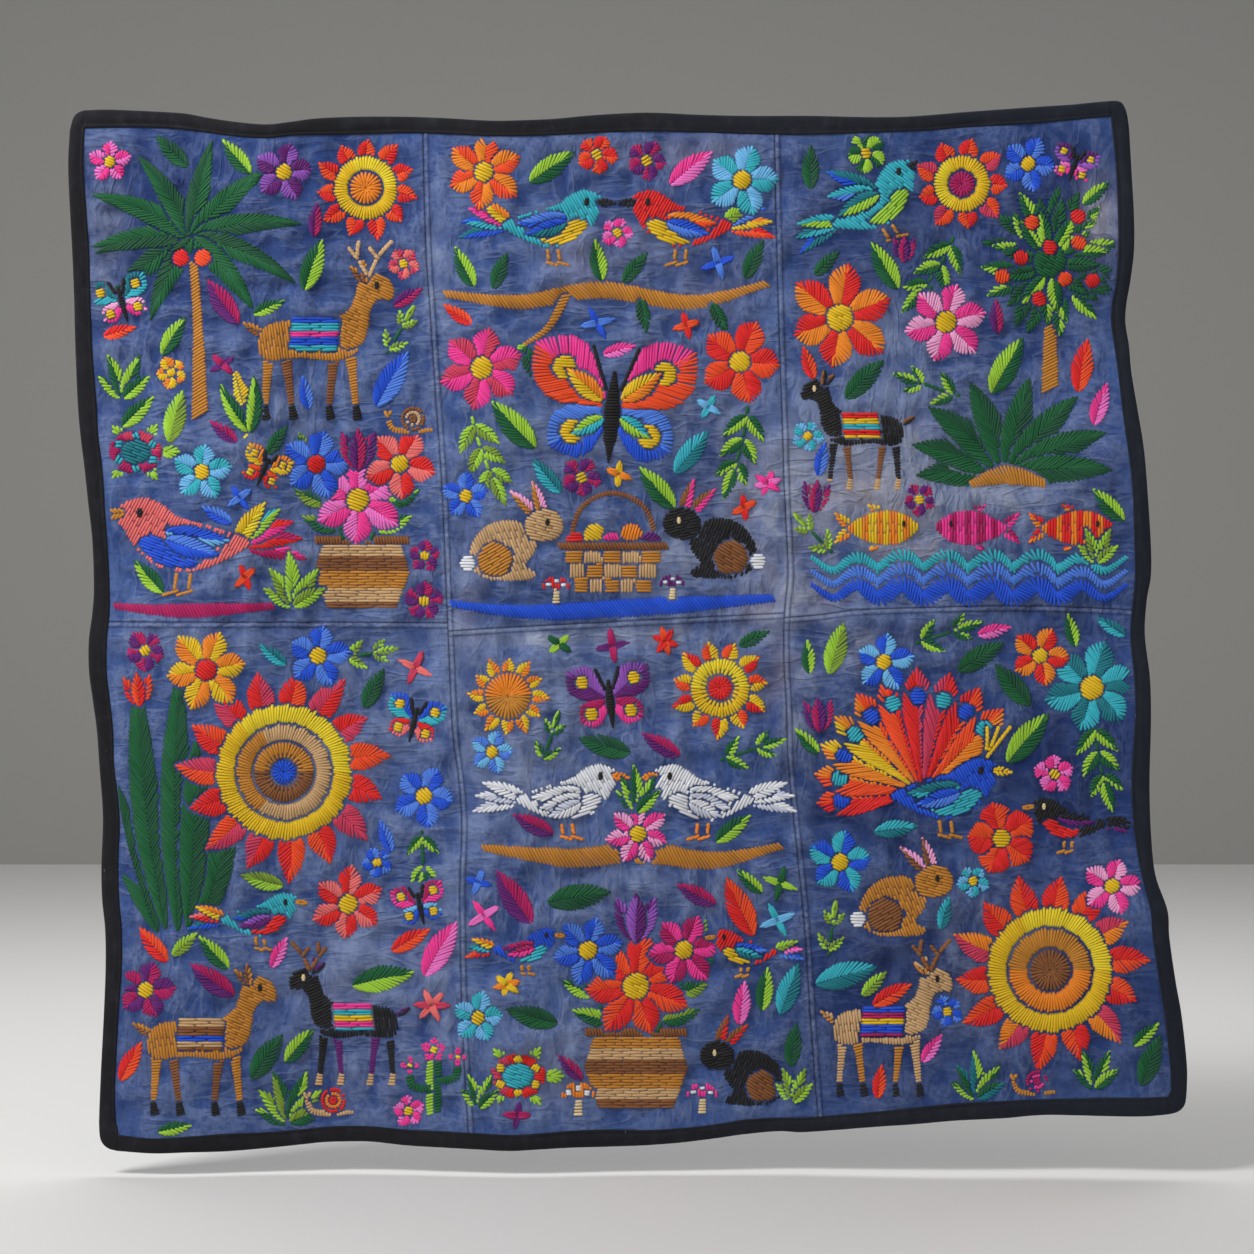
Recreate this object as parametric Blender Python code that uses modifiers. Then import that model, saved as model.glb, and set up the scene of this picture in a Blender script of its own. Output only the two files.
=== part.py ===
"""Wall tapestry: six pieced cotton blocks in a folded binding, hanging from its top edge.

Metres, +Z up. The origin is the middle of the top edge, +X runs to the viewer's right and the front
faces -Y. Places along the edges are read from the photograph in its pixels and turned into real sizes
by the width of the binding.
"""
import math

import bmesh
import bpy
from mathutils import Vector

# Driving dimensions, in metres
BINDING_WIDTH = 0.0127
BINDING_THICKNESS = 0.0010
CLOTH_THICKNESS = 0.0012
SEAM_GAP = 0.0005
BINDING_EASE = 0.0005
FOLD_DEPTH = 0.0010
CORNER_DEPTH = 0.0024
VIEW_DISTANCE = 2.6
BLOCK_COLUMNS = 16
BLOCK_ROWS = 24

# How far the cloth stands off its hanging plane, in metres: at its top edge, and more at its bottom edge
STAND_OFF = 0.010
STAND_OFF_GAIN = 0.002

# The binding's fold, as shares of its half thickness: where its flat part ends, and how blunt its nose is
FOLD_SHOULDER = 0.8
FOLD_NOSE = 0.5

# The photograph, in its own pixels
BINDING_PIXELS = 15.3
PHOTO_CENTRE = (627.0, 627.0)
ORIGIN_PIXEL = (601.0, 115.0)
METRES_PER_PIXEL = BINDING_WIDTH / BINDING_PIXELS
HANGING_TOP = 115.0
HANGING_HEIGHT = 1020.0
BLOCK_LEVELS = {"upper": (127.0, 620.0), "lower": (620.0, 1115.0)}
NORMAL_STEP = 4.0
STATION_STEP = 3.0
STATION_MARGIN = 4.0

# Shape of the curves: how far a table is read past its ends, how fast a bump falls off, how many rounds
# find the meeting of two lines, and where the last section of a corner lies on the way to the side's run
CURVE_REACH = 0.4
BUMP_FALL = 1.1
MEETING_ROUNDS = 12
CORNER_RUN = 0.55

# Edges: x (or y) along the edge, then the binding's outer and inner line
TOP_EDGE = (
    (85, 110.6, 127.4), (108, 110.0, 126.8), (157, 112.0, 127.6), (186, 114.0, 129.4), (205, 117.6, 132.0),
    (234, 122.0, 136.0), (266, 124.7, 138.2), (290, 122.2, 135.6), (314, 119.0, 135.0), (351, 117.2, 134.6),
    (399, 117.0, 133.6), (440, 118.2, 134.2), (491, 121.0, 136.2), (527, 120.4, 136.0), (556, 119.0, 135.0),
    (587, 116.0, 133.0), (624, 113.7, 131.0), (653, 113.0, 130.6), (697, 115.0, 132.0), (745, 116.2, 133.2),
    (810, 116.2, 133.6), (865, 117.4, 132.8), (901, 117.2, 132.0), (930, 115.4, 130.8), (965, 112.4, 127.4),
    (998, 110.0, 125.0), (1034, 107.4, 123.2), (1071, 105.0, 120.2), (1095, 102.6, 118.0), (1111, 101.2, 116.4),
)
BOTTOM_EDGE = (
    (118, 1150.6, 1134.6), (153, 1153.0, 1138.5), (189, 1152.0, 1137.0), (225, 1151.0, 1134.2),
    (262, 1148.0, 1132.4), (298, 1144.4, 1129.5), (322, 1141.8, 1127.2), (347, 1141.0, 1126.4),
    (371, 1141.2, 1127.0), (407, 1145.0, 1130.0), (440, 1147.0, 1130.9), (476, 1149.0, 1133.0),
    (510, 1150.6, 1135.6), (537, 1149.2, 1134.8), (573, 1147.2, 1131.4), (610, 1146.2, 1130.0),
    (646, 1144.8, 1129.8), (682, 1142.0, 1127.6), (719, 1137.4, 1124.0), (743, 1134.0, 1120.2),
    (779, 1130.7, 1118.0), (800, 1131.8, 1118.0), (838, 1129.4, 1115.2), (876, 1126.4, 1112.0),
    (915, 1123.8, 1108.2), (953, 1120.4, 1104.2), (1004, 1117.8, 1101.8), (1042, 1114.6, 1099.4),
    (1080, 1115.0, 1098.4), (1106, 1115.7, 1098.2), (1144, 1116.0, 1098.0), (1168, 1114.0, 1096.6),
)
LEFT_EDGE = (
    (131, 70.2, 84.6), (163, 68.6, 82.9), (205, 70.1, 85.6), (251, 72.6, 88.8), (297, 74.5, 90.1),
    (331, 75.3, 91.2), (365, 76.4, 92.6), (411, 78.7, 96.4), (440, 81.4, 98.4), (464, 84.4, 101.5),
    (503, 88.6, 104.6), (540, 92.7, 107.2), (591, 94.3, 109.6), (614, 92.6, 109.4), (641, 89.2, 106.8),
    (671, 89.4, 106.5), (701, 93.3, 109.6), (728, 97.0, 112.5), (763, 99.6, 114.2), (817, 103.3, 119.4),
    (867, 101.8, 118.5), (899, 102.5, 119.0), (929, 105.5, 121.6), (966, 106.0, 121.6), (1011, 104.4, 118.2),
    (1066, 101.6, 115.4), (1103, 100.0, 115.0), (1122, 99.4, 116.0),
)
RIGHT_EDGE = (
    (128, 1128.6, 1112.4), (170, 1131.0, 1116.3), (216, 1133.5, 1118.2), (251, 1133.5, 1118.6),
    (281, 1129.9, 1116.3), (303, 1126.1, 1112.2), (322, 1124.9, 1111.2), (345, 1128.4, 1114.4),
    (372, 1130.9, 1118.4), (411, 1137.4, 1123.0), (450, 1143.6, 1128.2), (494, 1147.3, 1133.2),
    (549, 1150.6, 1135.5), (577, 1150.4, 1135.7), (598, 1146.6, 1133.6), (634, 1144.4, 1130.8),
    (678, 1149.5, 1133.9), (717, 1150.6, 1134.9), (785, 1149.1, 1131.4), (837, 1150.8, 1134.9),
    (876, 1155.2, 1142.0), (911, 1167.2, 1150.6), (936, 1168.8, 1152.0), (982, 1175.3, 1159.0),
    (1014, 1181.0, 1164.8), (1067, 1186.6, 1170.4), (1090, 1186.4, 1171.4),
)

# Outer corners, each as the points between its two edges, then the binding's inner corner
CORNERS = {
    "top_left": (((78.6, 112.8), (73.6, 118.4)), (85.2, 127.6)),
    "top_right": (((1120.6, 102.4), (1126.0, 112.0)), (1111.2, 116.6)),
    "bottom_right": (((1184.4, 1104.4), (1177.6, 1111.4)), (1170.6, 1096.4)),
    "bottom_left": (((100.8, 1139.0), (107.6, 1147.6)), (117.2, 1133.4)),
}

# Seams: the two column seams as y, x, and the row seam of each column as x, y
LEFT_SEAM = (
    (120, 423.0), (243, 426.0), (320, 431.0), (396, 436.0), (488, 442.4), (560, 445.4), (632, 448.4),
    (675, 450.2), (740, 453.8), (775, 458.6), (824, 462.2), (885, 460.2), (982, 461.4), (1060, 464.2),
    (1140, 469.2),
)
RIGHT_SEAM = (
    (120, 774.4), (243, 777.0), (345, 779.8), (430, 782.8), (488, 784.4), (548, 787.4), (576, 788.4),
    (614, 784.8), (660, 784.2), (700, 786.4), (760, 788.4), (842, 796.4), (925, 804.6), (1023, 811.0),
    (1130, 819.2),
)
ROW_SEAMS = (
    ((90, 622.0), (200, 622.6), (320, 622.4), (460, 623.2)),
    ((440, 632.0), (497, 628.2), (573, 624.0), (650, 620.0), (726, 616.2), (800, 612.6)),
    ((775, 618.6), (820, 615.0), (856, 610.4), (933, 607.6), (1010, 605.8), (1090, 608.0), (1160, 612.0)),
)

# Hanging folds: x at the top and bottom, half width there, and how far each stands forward in metres
FOLDS = (
    {
        "top_x": 268, "bottom_x": 160, "top_half": 62, "bottom_half": 78,
        "top_rise": 0.0090, "bottom_rise": 0.0130,
    },
    {
        "top_x": 385, "bottom_x": 348, "top_half": 54, "bottom_half": 62,
        "top_rise": -0.0020, "bottom_rise": -0.0060,
    },
    {
        "top_x": 500, "bottom_x": 516, "top_half": 66, "bottom_half": 80,
        "top_rise": 0.0075, "bottom_rise": 0.0110,
    },
    {
        "top_x": 655, "bottom_x": 775, "top_half": 60, "bottom_half": 78,
        "top_rise": -0.0020, "bottom_rise": -0.0060,
    },
    {
        "top_x": 870, "bottom_x": 950, "top_half": 88, "bottom_half": 84,
        "top_rise": 0.0065, "bottom_rise": 0.0040,
    },
    {
        "top_x": 1112, "bottom_x": 1158, "top_half": 64, "bottom_half": 76,
        "top_rise": 0.0020, "bottom_rise": 0.0120,
    },
)

# Swells and hollows: centre, half width, half height, and how far each stands forward in metres
SWELLS = (
    {"x": 1130, "y": 236, "half_x": 96, "half_y": 58, "rise": 0.0065},
    {"x": 1124, "y": 322, "half_x": 110, "half_y": 46, "rise": -0.0050},
    {"x": 1146, "y": 500, "half_x": 120, "half_y": 88, "rise": 0.0070},
    {"x": 1142, "y": 632, "half_x": 130, "half_y": 48, "rise": -0.0055},
    {"x": 1150, "y": 722, "half_x": 120, "half_y": 66, "rise": 0.0045},
    {"x": 1172, "y": 925, "half_x": 110, "half_y": 64, "rise": 0.0050},
    {"x": 74, "y": 168, "half_x": 90, "half_y": 60, "rise": 0.0045},
    {"x": 94, "y": 580, "half_x": 100, "half_y": 60, "rise": -0.0035},
    {"x": 88, "y": 656, "half_x": 96, "half_y": 50, "rise": 0.0060},
    {"x": 104, "y": 850, "half_x": 110, "half_y": 76, "rise": -0.0035},
    {"x": 600, "y": 622, "half_x": 420, "half_y": 54, "rise": -0.0032},
    {"x": 620, "y": 440, "half_x": 110, "half_y": 110, "rise": 0.0040},
    {"x": 640, "y": 830, "half_x": 130, "half_y": 90, "rise": 0.0045},
    {"x": 950, "y": 745, "half_x": 120, "half_y": 110, "rise": 0.0048},
    {"x": 270, "y": 760, "half_x": 120, "half_y": 110, "rise": 0.0040},
    {"x": 300, "y": 360, "half_x": 120, "half_y": 120, "rise": 0.0035},
)

# Colours as linear RGB
INDIGO = (0.085, 0.125, 0.290, 1.0)
CHARCOAL = (0.010, 0.011, 0.014, 1.0)


def curve_value(table, position, column):
    """Read a smooth curve through a table's rows at a position along it."""
    last = len(table) - 1
    row = 0
    while row < last - 1 and position > table[row + 1][0]:
        row += 1
    before, start, end, after = (table[min(max(row + step, 0), last)] for step in (-1, 0, 1, 2))
    span = end[0] - start[0]
    share = min(max((position - start[0]) / span, -CURVE_REACH), 1 + CURVE_REACH)
    start_slope = (end[column] - before[column]) / (end[0] - before[0]) * span
    end_slope = (after[column] - start[column]) / (after[0] - start[0]) * span
    if share < 0:
        return start[column] + start_slope * share
    if share > 1:
        return end[column] + end_slope * (share - 1)
    square, cube = share * share, share ** 3
    return (
        (2 * cube - 3 * square + 1) * start[column]
        + (cube - 2 * square + share) * start_slope
        + (3 * square - 2 * cube) * end[column]
        + (cube - square) * end_slope
    )


def bell(offset):
    """A smooth bump that is 1 at its middle and fades out at about twice its half width."""
    return math.exp(-BUMP_FALL * offset * offset)


def cloth_rise(pixel_x, pixel_y):
    """How far the cloth's middle layer stands forward of the hanging plane, in metres."""
    drop = min(max((pixel_y - HANGING_TOP) / HANGING_HEIGHT, 0.0), 1.0)
    rise = STAND_OFF + STAND_OFF_GAIN * drop
    for fold in FOLDS:
        middle = fold["top_x"] + (fold["bottom_x"] - fold["top_x"]) * drop
        half = fold["top_half"] + (fold["bottom_half"] - fold["top_half"]) * drop
        height = fold["top_rise"] + (fold["bottom_rise"] - fold["top_rise"]) * drop
        rise += height * bell((pixel_x - middle) / half)
    for swell in SWELLS:
        across = bell((pixel_x - swell["x"]) / swell["half_x"])
        rise += swell["rise"] * across * bell((pixel_y - swell["y"]) / swell["half_y"])
    return rise


def place(pixel_x, pixel_y):
    """The cloth's middle layer at a place in the photograph, on that place's line of sight."""
    rise = cloth_rise(pixel_x, pixel_y)
    spread = METRES_PER_PIXEL * (VIEW_DISTANCE - rise) / VIEW_DISTANCE
    centre_x = (PHOTO_CENTRE[0] - ORIGIN_PIXEL[0]) * METRES_PER_PIXEL
    centre_z = (ORIGIN_PIXEL[1] - PHOTO_CENTRE[1]) * METRES_PER_PIXEL
    return Vector((
        centre_x + (pixel_x - PHOTO_CENTRE[0]) * spread,
        -rise,
        centre_z - (pixel_y - PHOTO_CENTRE[1]) * spread,
    ))


def forward_normal(pixel_x, pixel_y):
    """The cloth's unit normal on its front side."""
    across = place(pixel_x + NORMAL_STEP, pixel_y) - place(pixel_x - NORMAL_STEP, pixel_y)
    down = place(pixel_x, pixel_y + NORMAL_STEP) - place(pixel_x, pixel_y - NORMAL_STEP)
    normal = across.cross(down)
    return -normal.normalized() if normal.y > 0 else normal.normalized()


def outer_and_inner(side, position):
    """The binding's outer and inner line at a place along one side, as two pixel points."""
    table = {"top": TOP_EDGE, "bottom": BOTTOM_EDGE, "left": LEFT_EDGE, "right": RIGHT_EDGE}[side]
    outer = curve_value(table, position, 1)
    inner = curve_value(table, position, 2)
    if side in ("top", "bottom"):
        return (position, outer), (position, inner)
    return (outer, position), (inner, position)


def toward(start, end, pixels):
    """The point a number of pixels from start towards end."""
    reach = math.dist(start, end)
    share = pixels / reach
    return start[0] + (end[0] - start[0]) * share, start[1] + (end[1] - start[1]) * share


def cloth_edge(outer, inner, depth=FOLD_DEPTH):
    """Where the cloth ends inside the binding, short of the fold by a depth."""
    return toward(outer, inner, (BINDING_THICKNESS + depth) / METRES_PER_PIXEL)


def side_line(column, edge, pixel_y):
    """x of a block's left or right limit at a height: the binding's inner line or a seam."""
    half_gap = 0.5 * SEAM_GAP / METRES_PER_PIXEL
    if edge == "left":
        if column == 0:
            return curve_value(LEFT_EDGE, pixel_y, 2)
        return curve_value((LEFT_SEAM, RIGHT_SEAM)[column - 1], pixel_y, 1) + half_gap
    if column == 2:
        return curve_value(RIGHT_EDGE, pixel_y, 2)
    return curve_value((LEFT_SEAM, RIGHT_SEAM)[column], pixel_y, 1) - half_gap


def level_line(column, row, edge, pixel_x):
    """y of a block's upper or lower limit at an x: the binding's inner line or the row seam."""
    half_gap = 0.5 * SEAM_GAP / METRES_PER_PIXEL
    if edge == "upper":
        if row == 0:
            return curve_value(TOP_EDGE, pixel_x, 2)
        return curve_value(ROW_SEAMS[column], pixel_x, 1) + half_gap
    if row == 1:
        return curve_value(BOTTOM_EDGE, pixel_x, 2)
    return curve_value(ROW_SEAMS[column], pixel_x, 1) - half_gap


def meeting(column, row, side, edge):
    """The corner where a block's side line and level line meet."""
    if (column, side) == (0, "left") or (column, side) == (2, "right"):
        name = ("top" if edge == "upper" else "bottom") + "_" + side
        if (row, edge) == (0, "upper") or (row, edge) == (1, "lower"):
            return CORNERS[name][1]
    pixel_y = BLOCK_LEVELS[edge][row]
    for _ in range(MEETING_ROUNDS):
        pixel_x = side_line(column, side, pixel_y)
        pixel_y = level_line(column, row, edge, pixel_x)
    return pixel_x, pixel_y


def block_grid(column, row):
    """Pixel points of one block inside the binding's inner line, row by row from its top left."""
    corners = {
        (side, edge): meeting(column, row, side, edge)
        for side in ("left", "right") for edge in ("upper", "lower")
    }
    top_left, top_right = corners["left", "upper"], corners["right", "upper"]
    low_left, low_right = corners["left", "lower"], corners["right", "lower"]

    def upper(share):
        pixel_x = top_left[0] + (top_right[0] - top_left[0]) * share
        return pixel_x, level_line(column, row, "upper", pixel_x)

    def lower(share):
        pixel_x = low_left[0] + (low_right[0] - low_left[0]) * share
        return pixel_x, level_line(column, row, "lower", pixel_x)

    def left(share):
        pixel_y = top_left[1] + (low_left[1] - top_left[1]) * share
        return side_line(column, "left", pixel_y), pixel_y

    def right(share):
        pixel_y = top_right[1] + (low_right[1] - top_right[1]) * share
        return side_line(column, "right", pixel_y), pixel_y

    grid = []
    for down in range(BLOCK_ROWS + 1):
        t = down / BLOCK_ROWS
        line = []
        for across in range(BLOCK_COLUMNS + 1):
            s = across / BLOCK_COLUMNS
            if s in (0, 1) and t in (0, 1):
                line.append({(0, 0): top_left, (1, 0): top_right, (0, 1): low_left, (1, 1): low_right}[s, t])
                continue
            line.append(tuple(
                (1 - t) * upper(s)[axis] + t * lower(s)[axis]
                + (1 - s) * left(t)[axis] + s * right(t)[axis]
                - (1 - s) * (1 - t) * top_left[axis] - s * (1 - t) * top_right[axis]
                - (1 - s) * t * low_left[axis] - s * t * low_right[axis]
                for axis in (0, 1)
            ))
        grid.append(line)
    return grid


def corner_point(name):
    """Where the cloth's own corner lies inside a rounded binding corner."""
    (first, second), inner = CORNERS[name]
    middle = ((first[0] + second[0]) / 2, (first[1] + second[1]) / 2)
    return cloth_edge(middle, inner, CORNER_DEPTH)


def add_turning(grid, column, row):
    """Carry a block's grid on under the binding, along each side where it has one."""
    level = "top" if row == 0 else "bottom"
    side = ("left", None, "right")[column]
    hem_line = grid[0] if row == 0 else grid[-1]
    corner = 0 if side == "left" else len(hem_line) - 1
    turned = []
    for index, point in enumerate(hem_line):
        depth = CORNER_DEPTH if side and index == corner else FOLD_DEPTH
        turned.append(cloth_edge(*outer_and_inner(level, point[0]), depth))
    if side:
        for line in grid:
            neighbour = line[0] if side == "left" else line[-1]
            depth = CORNER_DEPTH if line is hem_line else FOLD_DEPTH
            edge = cloth_edge(*outer_and_inner(side, neighbour[1]), depth)
            line.insert(0 if side == "left" else len(line), edge)
        turned.insert(0 if side == "left" else len(turned), corner_point(level + "_" + side))
    grid.insert(0 if row == 0 else len(grid), turned)
    return grid


def make_material(name, colour, roughness):
    """A plain cloth material."""
    material = bpy.data.materials.new(name)
    material.use_nodes = True
    shader = material.node_tree.nodes["Principled BSDF"]
    shader.inputs["Base Color"].default_value = colour
    shader.inputs["Roughness"].default_value = roughness
    shader.inputs["Metallic"].default_value = 0.0
    material.diffuse_color = colour
    return material


def add_split_quad(shape, first, second, third, fourth):
    """Two triangles that share the quad's falling diagonal, so that layers of cloth bend alike."""
    span = third.co - first.co
    if span.x * span.z < 0:
        shape.faces.new((first, second, third))
        shape.faces.new((first, third, fourth))
    else:
        shape.faces.new((first, second, fourth))
        shape.faces.new((second, third, fourth))


def make_sheet(name, points, thickness, collection, colour, roughness):
    """A sheet of cloth from rows of points on its middle layer."""
    shape = bmesh.new()
    rows = [[shape.verts.new(point) for point in line] for line in points]
    for upper, lower in zip(rows, rows[1:]):
        for index in range(len(upper) - 1):
            add_split_quad(shape, upper[index], lower[index], lower[index + 1], upper[index + 1])
    bmesh.ops.recalc_face_normals(shape, faces=shape.faces)
    mesh = bpy.data.meshes.new(name)
    shape.to_mesh(mesh)
    shape.free()
    sheet = bpy.data.objects.new(name, mesh)
    collection.objects.link(sheet)
    mesh.materials.append(make_material(name, colour, roughness))
    solid = sheet.modifiers.new("Thickness", "SOLIDIFY")
    solid.thickness = thickness
    solid.offset = 0.0
    solid.use_even_offset = True
    return sheet


def make_block(column, row, collection):
    """One pieced cloth block, with its turning carried on under the binding."""
    grid = add_turning(block_grid(column, row), column, row)
    points = [[place(*pixel) for pixel in line] for line in grid]
    name = "block_" + ("top", "bottom")[row] + "_" + ("left", "middle", "right")[column]
    return make_sheet(name, points, CLOTH_THICKNESS, collection, INDIGO, 0.9)


def binding_section(outer, inner):
    """The folded strip's middle layer across its width, from the front hem round to the back one."""
    cloth_pixel = cloth_edge(outer, inner)
    cloth_end, hem = place(*cloth_pixel), place(*inner)
    across = (hem - cloth_end).normalized()
    normal = forward_normal(*cloth_pixel) + forward_normal(*inner)
    normal = (normal - across * normal.dot(across)).normalized()
    fold = cloth_end - across * (BINDING_THICKNESS + FOLD_DEPTH)
    width = (hem - fold).length
    half = CLOTH_THICKNESS / 2 + BINDING_EASE + BINDING_THICKNESS / 2
    bend = BINDING_THICKNESS / 2
    profile = ((width, half), (bend + FOLD_SHOULDER * half, half), (bend, FOLD_NOSE * half))
    profile += tuple((inward, -forward) for inward, forward in reversed(profile))
    return [fold + across * inward + normal * forward for inward, forward in profile]


def column_stations(row):
    """x of every block grid line along the top or bottom edge, without the outer corners."""
    edge = 0 if row == 0 else -1
    stations = []
    for column in range(3):
        stations += [point[0] for point in block_grid(column, row)[edge]]
    return stations


def row_stations(column):
    """y of every block grid line down the left or right edge."""
    edge = 0 if column == 0 else -1
    stations = []
    for row in range(2):
        stations += [line[edge][1] for line in block_grid(column, row)]
    return stations


def spaced(values):
    """Sorted values without those that lie closer together than the least step."""
    kept = []
    for value in sorted(values):
        if not kept or value - kept[-1] >= STATION_STEP:
            kept.append(value)
    return kept


def level_binding(row, collection):
    """The top or bottom strip, between the two side strips."""
    side = ("top", "bottom")[row]
    table = (TOP_EDGE, BOTTOM_EDGE)[row]
    gap = BINDING_EASE / METRES_PER_PIXEL
    start, end = table[0][0] + gap, table[-1][0] - gap
    first, last = start + STATION_MARGIN, end - STATION_MARGIN
    stations = [value for value in spaced(column_stations(row)) if first < value < last]
    sections = [binding_section(*outer_and_inner(side, value)) for value in [start] + stations + [end]]
    return make_sheet("binding_" + side, sections, BINDING_THICKNESS, collection, CHARCOAL, 0.8)


def corner_sections(side, level):
    """Sections that fan round a corner, from the level strip's end to the side strip's run."""
    first, second = CORNERS[level + "_" + side][0]
    table = TOP_EDGE if level == "top" else BOTTOM_EDGE
    end_row = table[0] if side == "left" else table[-1]
    run_table = LEFT_EDGE if side == "left" else RIGHT_EDGE
    run_row = run_table[0] if level == "top" else run_table[-1]
    near_level, near_side = sorted((first, second), key=lambda point: abs(point[0] - end_row[0]))
    run_start = (run_row[1], run_row[0])
    outer_points = (
        (end_row[0], end_row[1]),
        near_level,
        toward(near_level, near_side, math.dist(near_level, near_side) / 2),
        near_side,
        toward(near_side, run_start, math.dist(near_side, run_start) * CORNER_RUN),
    )
    inner_start = (end_row[0], end_row[2])
    inner_end = (run_row[2], run_row[0])
    sections = []
    for index, outer in enumerate(outer_points):
        share = index / len(outer_points)
        inner_point = toward(inner_start, inner_end, math.dist(inner_start, inner_end) * share)
        sections.append(binding_section(outer, inner_point))
    return sections


def side_binding(column, collection):
    """The left or right strip, which runs the full height and round both corners."""
    side = "left" if column == 0 else "right"
    table = LEFT_EDGE if column == 0 else RIGHT_EDGE
    start, end = table[0][0], table[-1][0]
    first, last = start + STATION_MARGIN, end - STATION_MARGIN
    stations = [value for value in spaced(row_stations(column)) if first < value < last]
    sections = corner_sections(side, "top")
    sections += [binding_section(*outer_and_inner(side, value)) for value in [start] + stations + [end]]
    sections += reversed(corner_sections(side, "bottom"))
    return make_sheet("binding_" + side, sections, BINDING_THICKNESS, collection, CHARCOAL, 0.8)


def main():
    for item in list(bpy.data.objects):
        bpy.data.objects.remove(item)
    collection = bpy.data.collections.new("wall_tapestry")
    bpy.context.scene.collection.children.link(collection)
    for row in range(2):
        for column in range(3):
            make_block(column, row, collection)
    for row in range(2):
        level_binding(row, collection)
    for column in (0, 2):
        side_binding(column, collection)


main()
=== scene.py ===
import random

from math import atan, ceil, cos, degrees, hypot, log, pi, radians, sin

import bpy
import numpy as np
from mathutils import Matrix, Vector


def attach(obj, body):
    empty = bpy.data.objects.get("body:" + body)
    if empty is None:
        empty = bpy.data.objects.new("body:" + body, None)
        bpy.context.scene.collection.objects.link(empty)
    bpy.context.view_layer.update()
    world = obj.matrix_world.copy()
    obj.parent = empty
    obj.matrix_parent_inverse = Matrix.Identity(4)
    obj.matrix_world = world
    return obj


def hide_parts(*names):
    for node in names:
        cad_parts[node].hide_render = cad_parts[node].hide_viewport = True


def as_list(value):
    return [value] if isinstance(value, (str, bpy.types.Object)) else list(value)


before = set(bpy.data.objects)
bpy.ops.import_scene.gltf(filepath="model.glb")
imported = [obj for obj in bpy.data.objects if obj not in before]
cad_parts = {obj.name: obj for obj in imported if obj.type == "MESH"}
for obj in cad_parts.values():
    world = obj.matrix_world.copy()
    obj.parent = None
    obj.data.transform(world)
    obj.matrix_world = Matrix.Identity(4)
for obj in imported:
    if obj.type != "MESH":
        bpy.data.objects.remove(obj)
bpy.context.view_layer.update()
print("stage: frame loaded")

# The photograph's own pixels place things; the binding's width turns them into metres
photo = {
    "bindingWidth": 0.0127, "bindingPixels": 15.3, "centre": (627.0, 627.0), "originPixel": (601.0, 115.0),
    "viewDistance": 2.6, "side": 1254,
}
metresPerPixel = photo["bindingWidth"] / photo["bindingPixels"]
mm = 0.001
slopeStep = 3  # pixels to each side of a place, to find the cloth's slope there

# Edges: x (or y) along the edge, then the binding's outer and inner line
topEdge = (
    (85, 110.6, 127.4), (108, 110.0, 126.8), (157, 112.0, 127.6), (186, 114.0, 129.4), (205, 117.6, 132.0),
    (234, 122.0, 136.0), (266, 124.7, 138.2), (290, 122.2, 135.6), (314, 119.0, 135.0), (351, 117.2, 134.6),
    (399, 117.0, 133.6), (440, 118.2, 134.2), (491, 121.0, 136.2), (527, 120.4, 136.0), (556, 119.0, 135.0),
    (587, 116.0, 133.0), (624, 113.7, 131.0), (653, 113.0, 130.6), (697, 115.0, 132.0), (745, 116.2, 133.2),
    (810, 116.2, 133.6), (865, 117.4, 132.8), (901, 117.2, 132.0), (930, 115.4, 130.8), (965, 112.4, 127.4),
    (998, 110.0, 125.0), (1034, 107.4, 123.2), (1071, 105.0, 120.2), (1095, 102.6, 118.0),
    (1111, 101.2, 116.4),
)
bottomEdge = (
    (118, 1150.6, 1134.6), (153, 1153.0, 1138.5), (189, 1152.0, 1137.0), (225, 1151.0, 1134.2),
    (262, 1148.0, 1132.4), (298, 1144.4, 1129.5), (322, 1141.8, 1127.2), (347, 1141.0, 1126.4),
    (371, 1141.2, 1127.0), (407, 1145.0, 1130.0), (440, 1147.0, 1130.9), (476, 1149.0, 1133.0),
    (510, 1150.6, 1135.6), (537, 1149.2, 1134.8), (573, 1147.2, 1131.4), (610, 1146.2, 1130.0),
    (646, 1144.8, 1129.8), (682, 1142.0, 1127.6), (719, 1137.4, 1124.0), (743, 1134.0, 1120.2),
    (779, 1130.7, 1118.0), (800, 1131.8, 1118.0), (838, 1129.4, 1115.2), (876, 1126.4, 1112.0),
    (915, 1123.8, 1108.2), (953, 1120.4, 1104.2), (1004, 1117.8, 1101.8), (1042, 1114.6, 1099.4),
    (1080, 1115.0, 1098.4), (1106, 1115.7, 1098.2), (1144, 1116.0, 1098.0), (1168, 1114.0, 1096.6),
)
leftEdge = (
    (131, 70.2, 84.6), (163, 68.6, 82.9), (205, 70.1, 85.6), (251, 72.6, 88.8), (297, 74.5, 90.1),
    (331, 75.3, 91.2), (365, 76.4, 92.6), (411, 78.7, 96.4), (440, 81.4, 98.4), (464, 84.4, 101.5),
    (503, 88.6, 104.6), (540, 92.7, 107.2), (591, 94.3, 109.6), (614, 92.6, 109.4), (641, 89.2, 106.8),
    (671, 89.4, 106.5), (701, 93.3, 109.6), (728, 97.0, 112.5), (763, 99.6, 114.2), (817, 103.3, 119.4),
    (867, 101.8, 118.5), (899, 102.5, 119.0), (929, 105.5, 121.6), (966, 106.0, 121.6), (1011, 104.4, 118.2),
    (1066, 101.6, 115.4), (1103, 100.0, 115.0), (1122, 99.4, 116.0),
)
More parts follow.
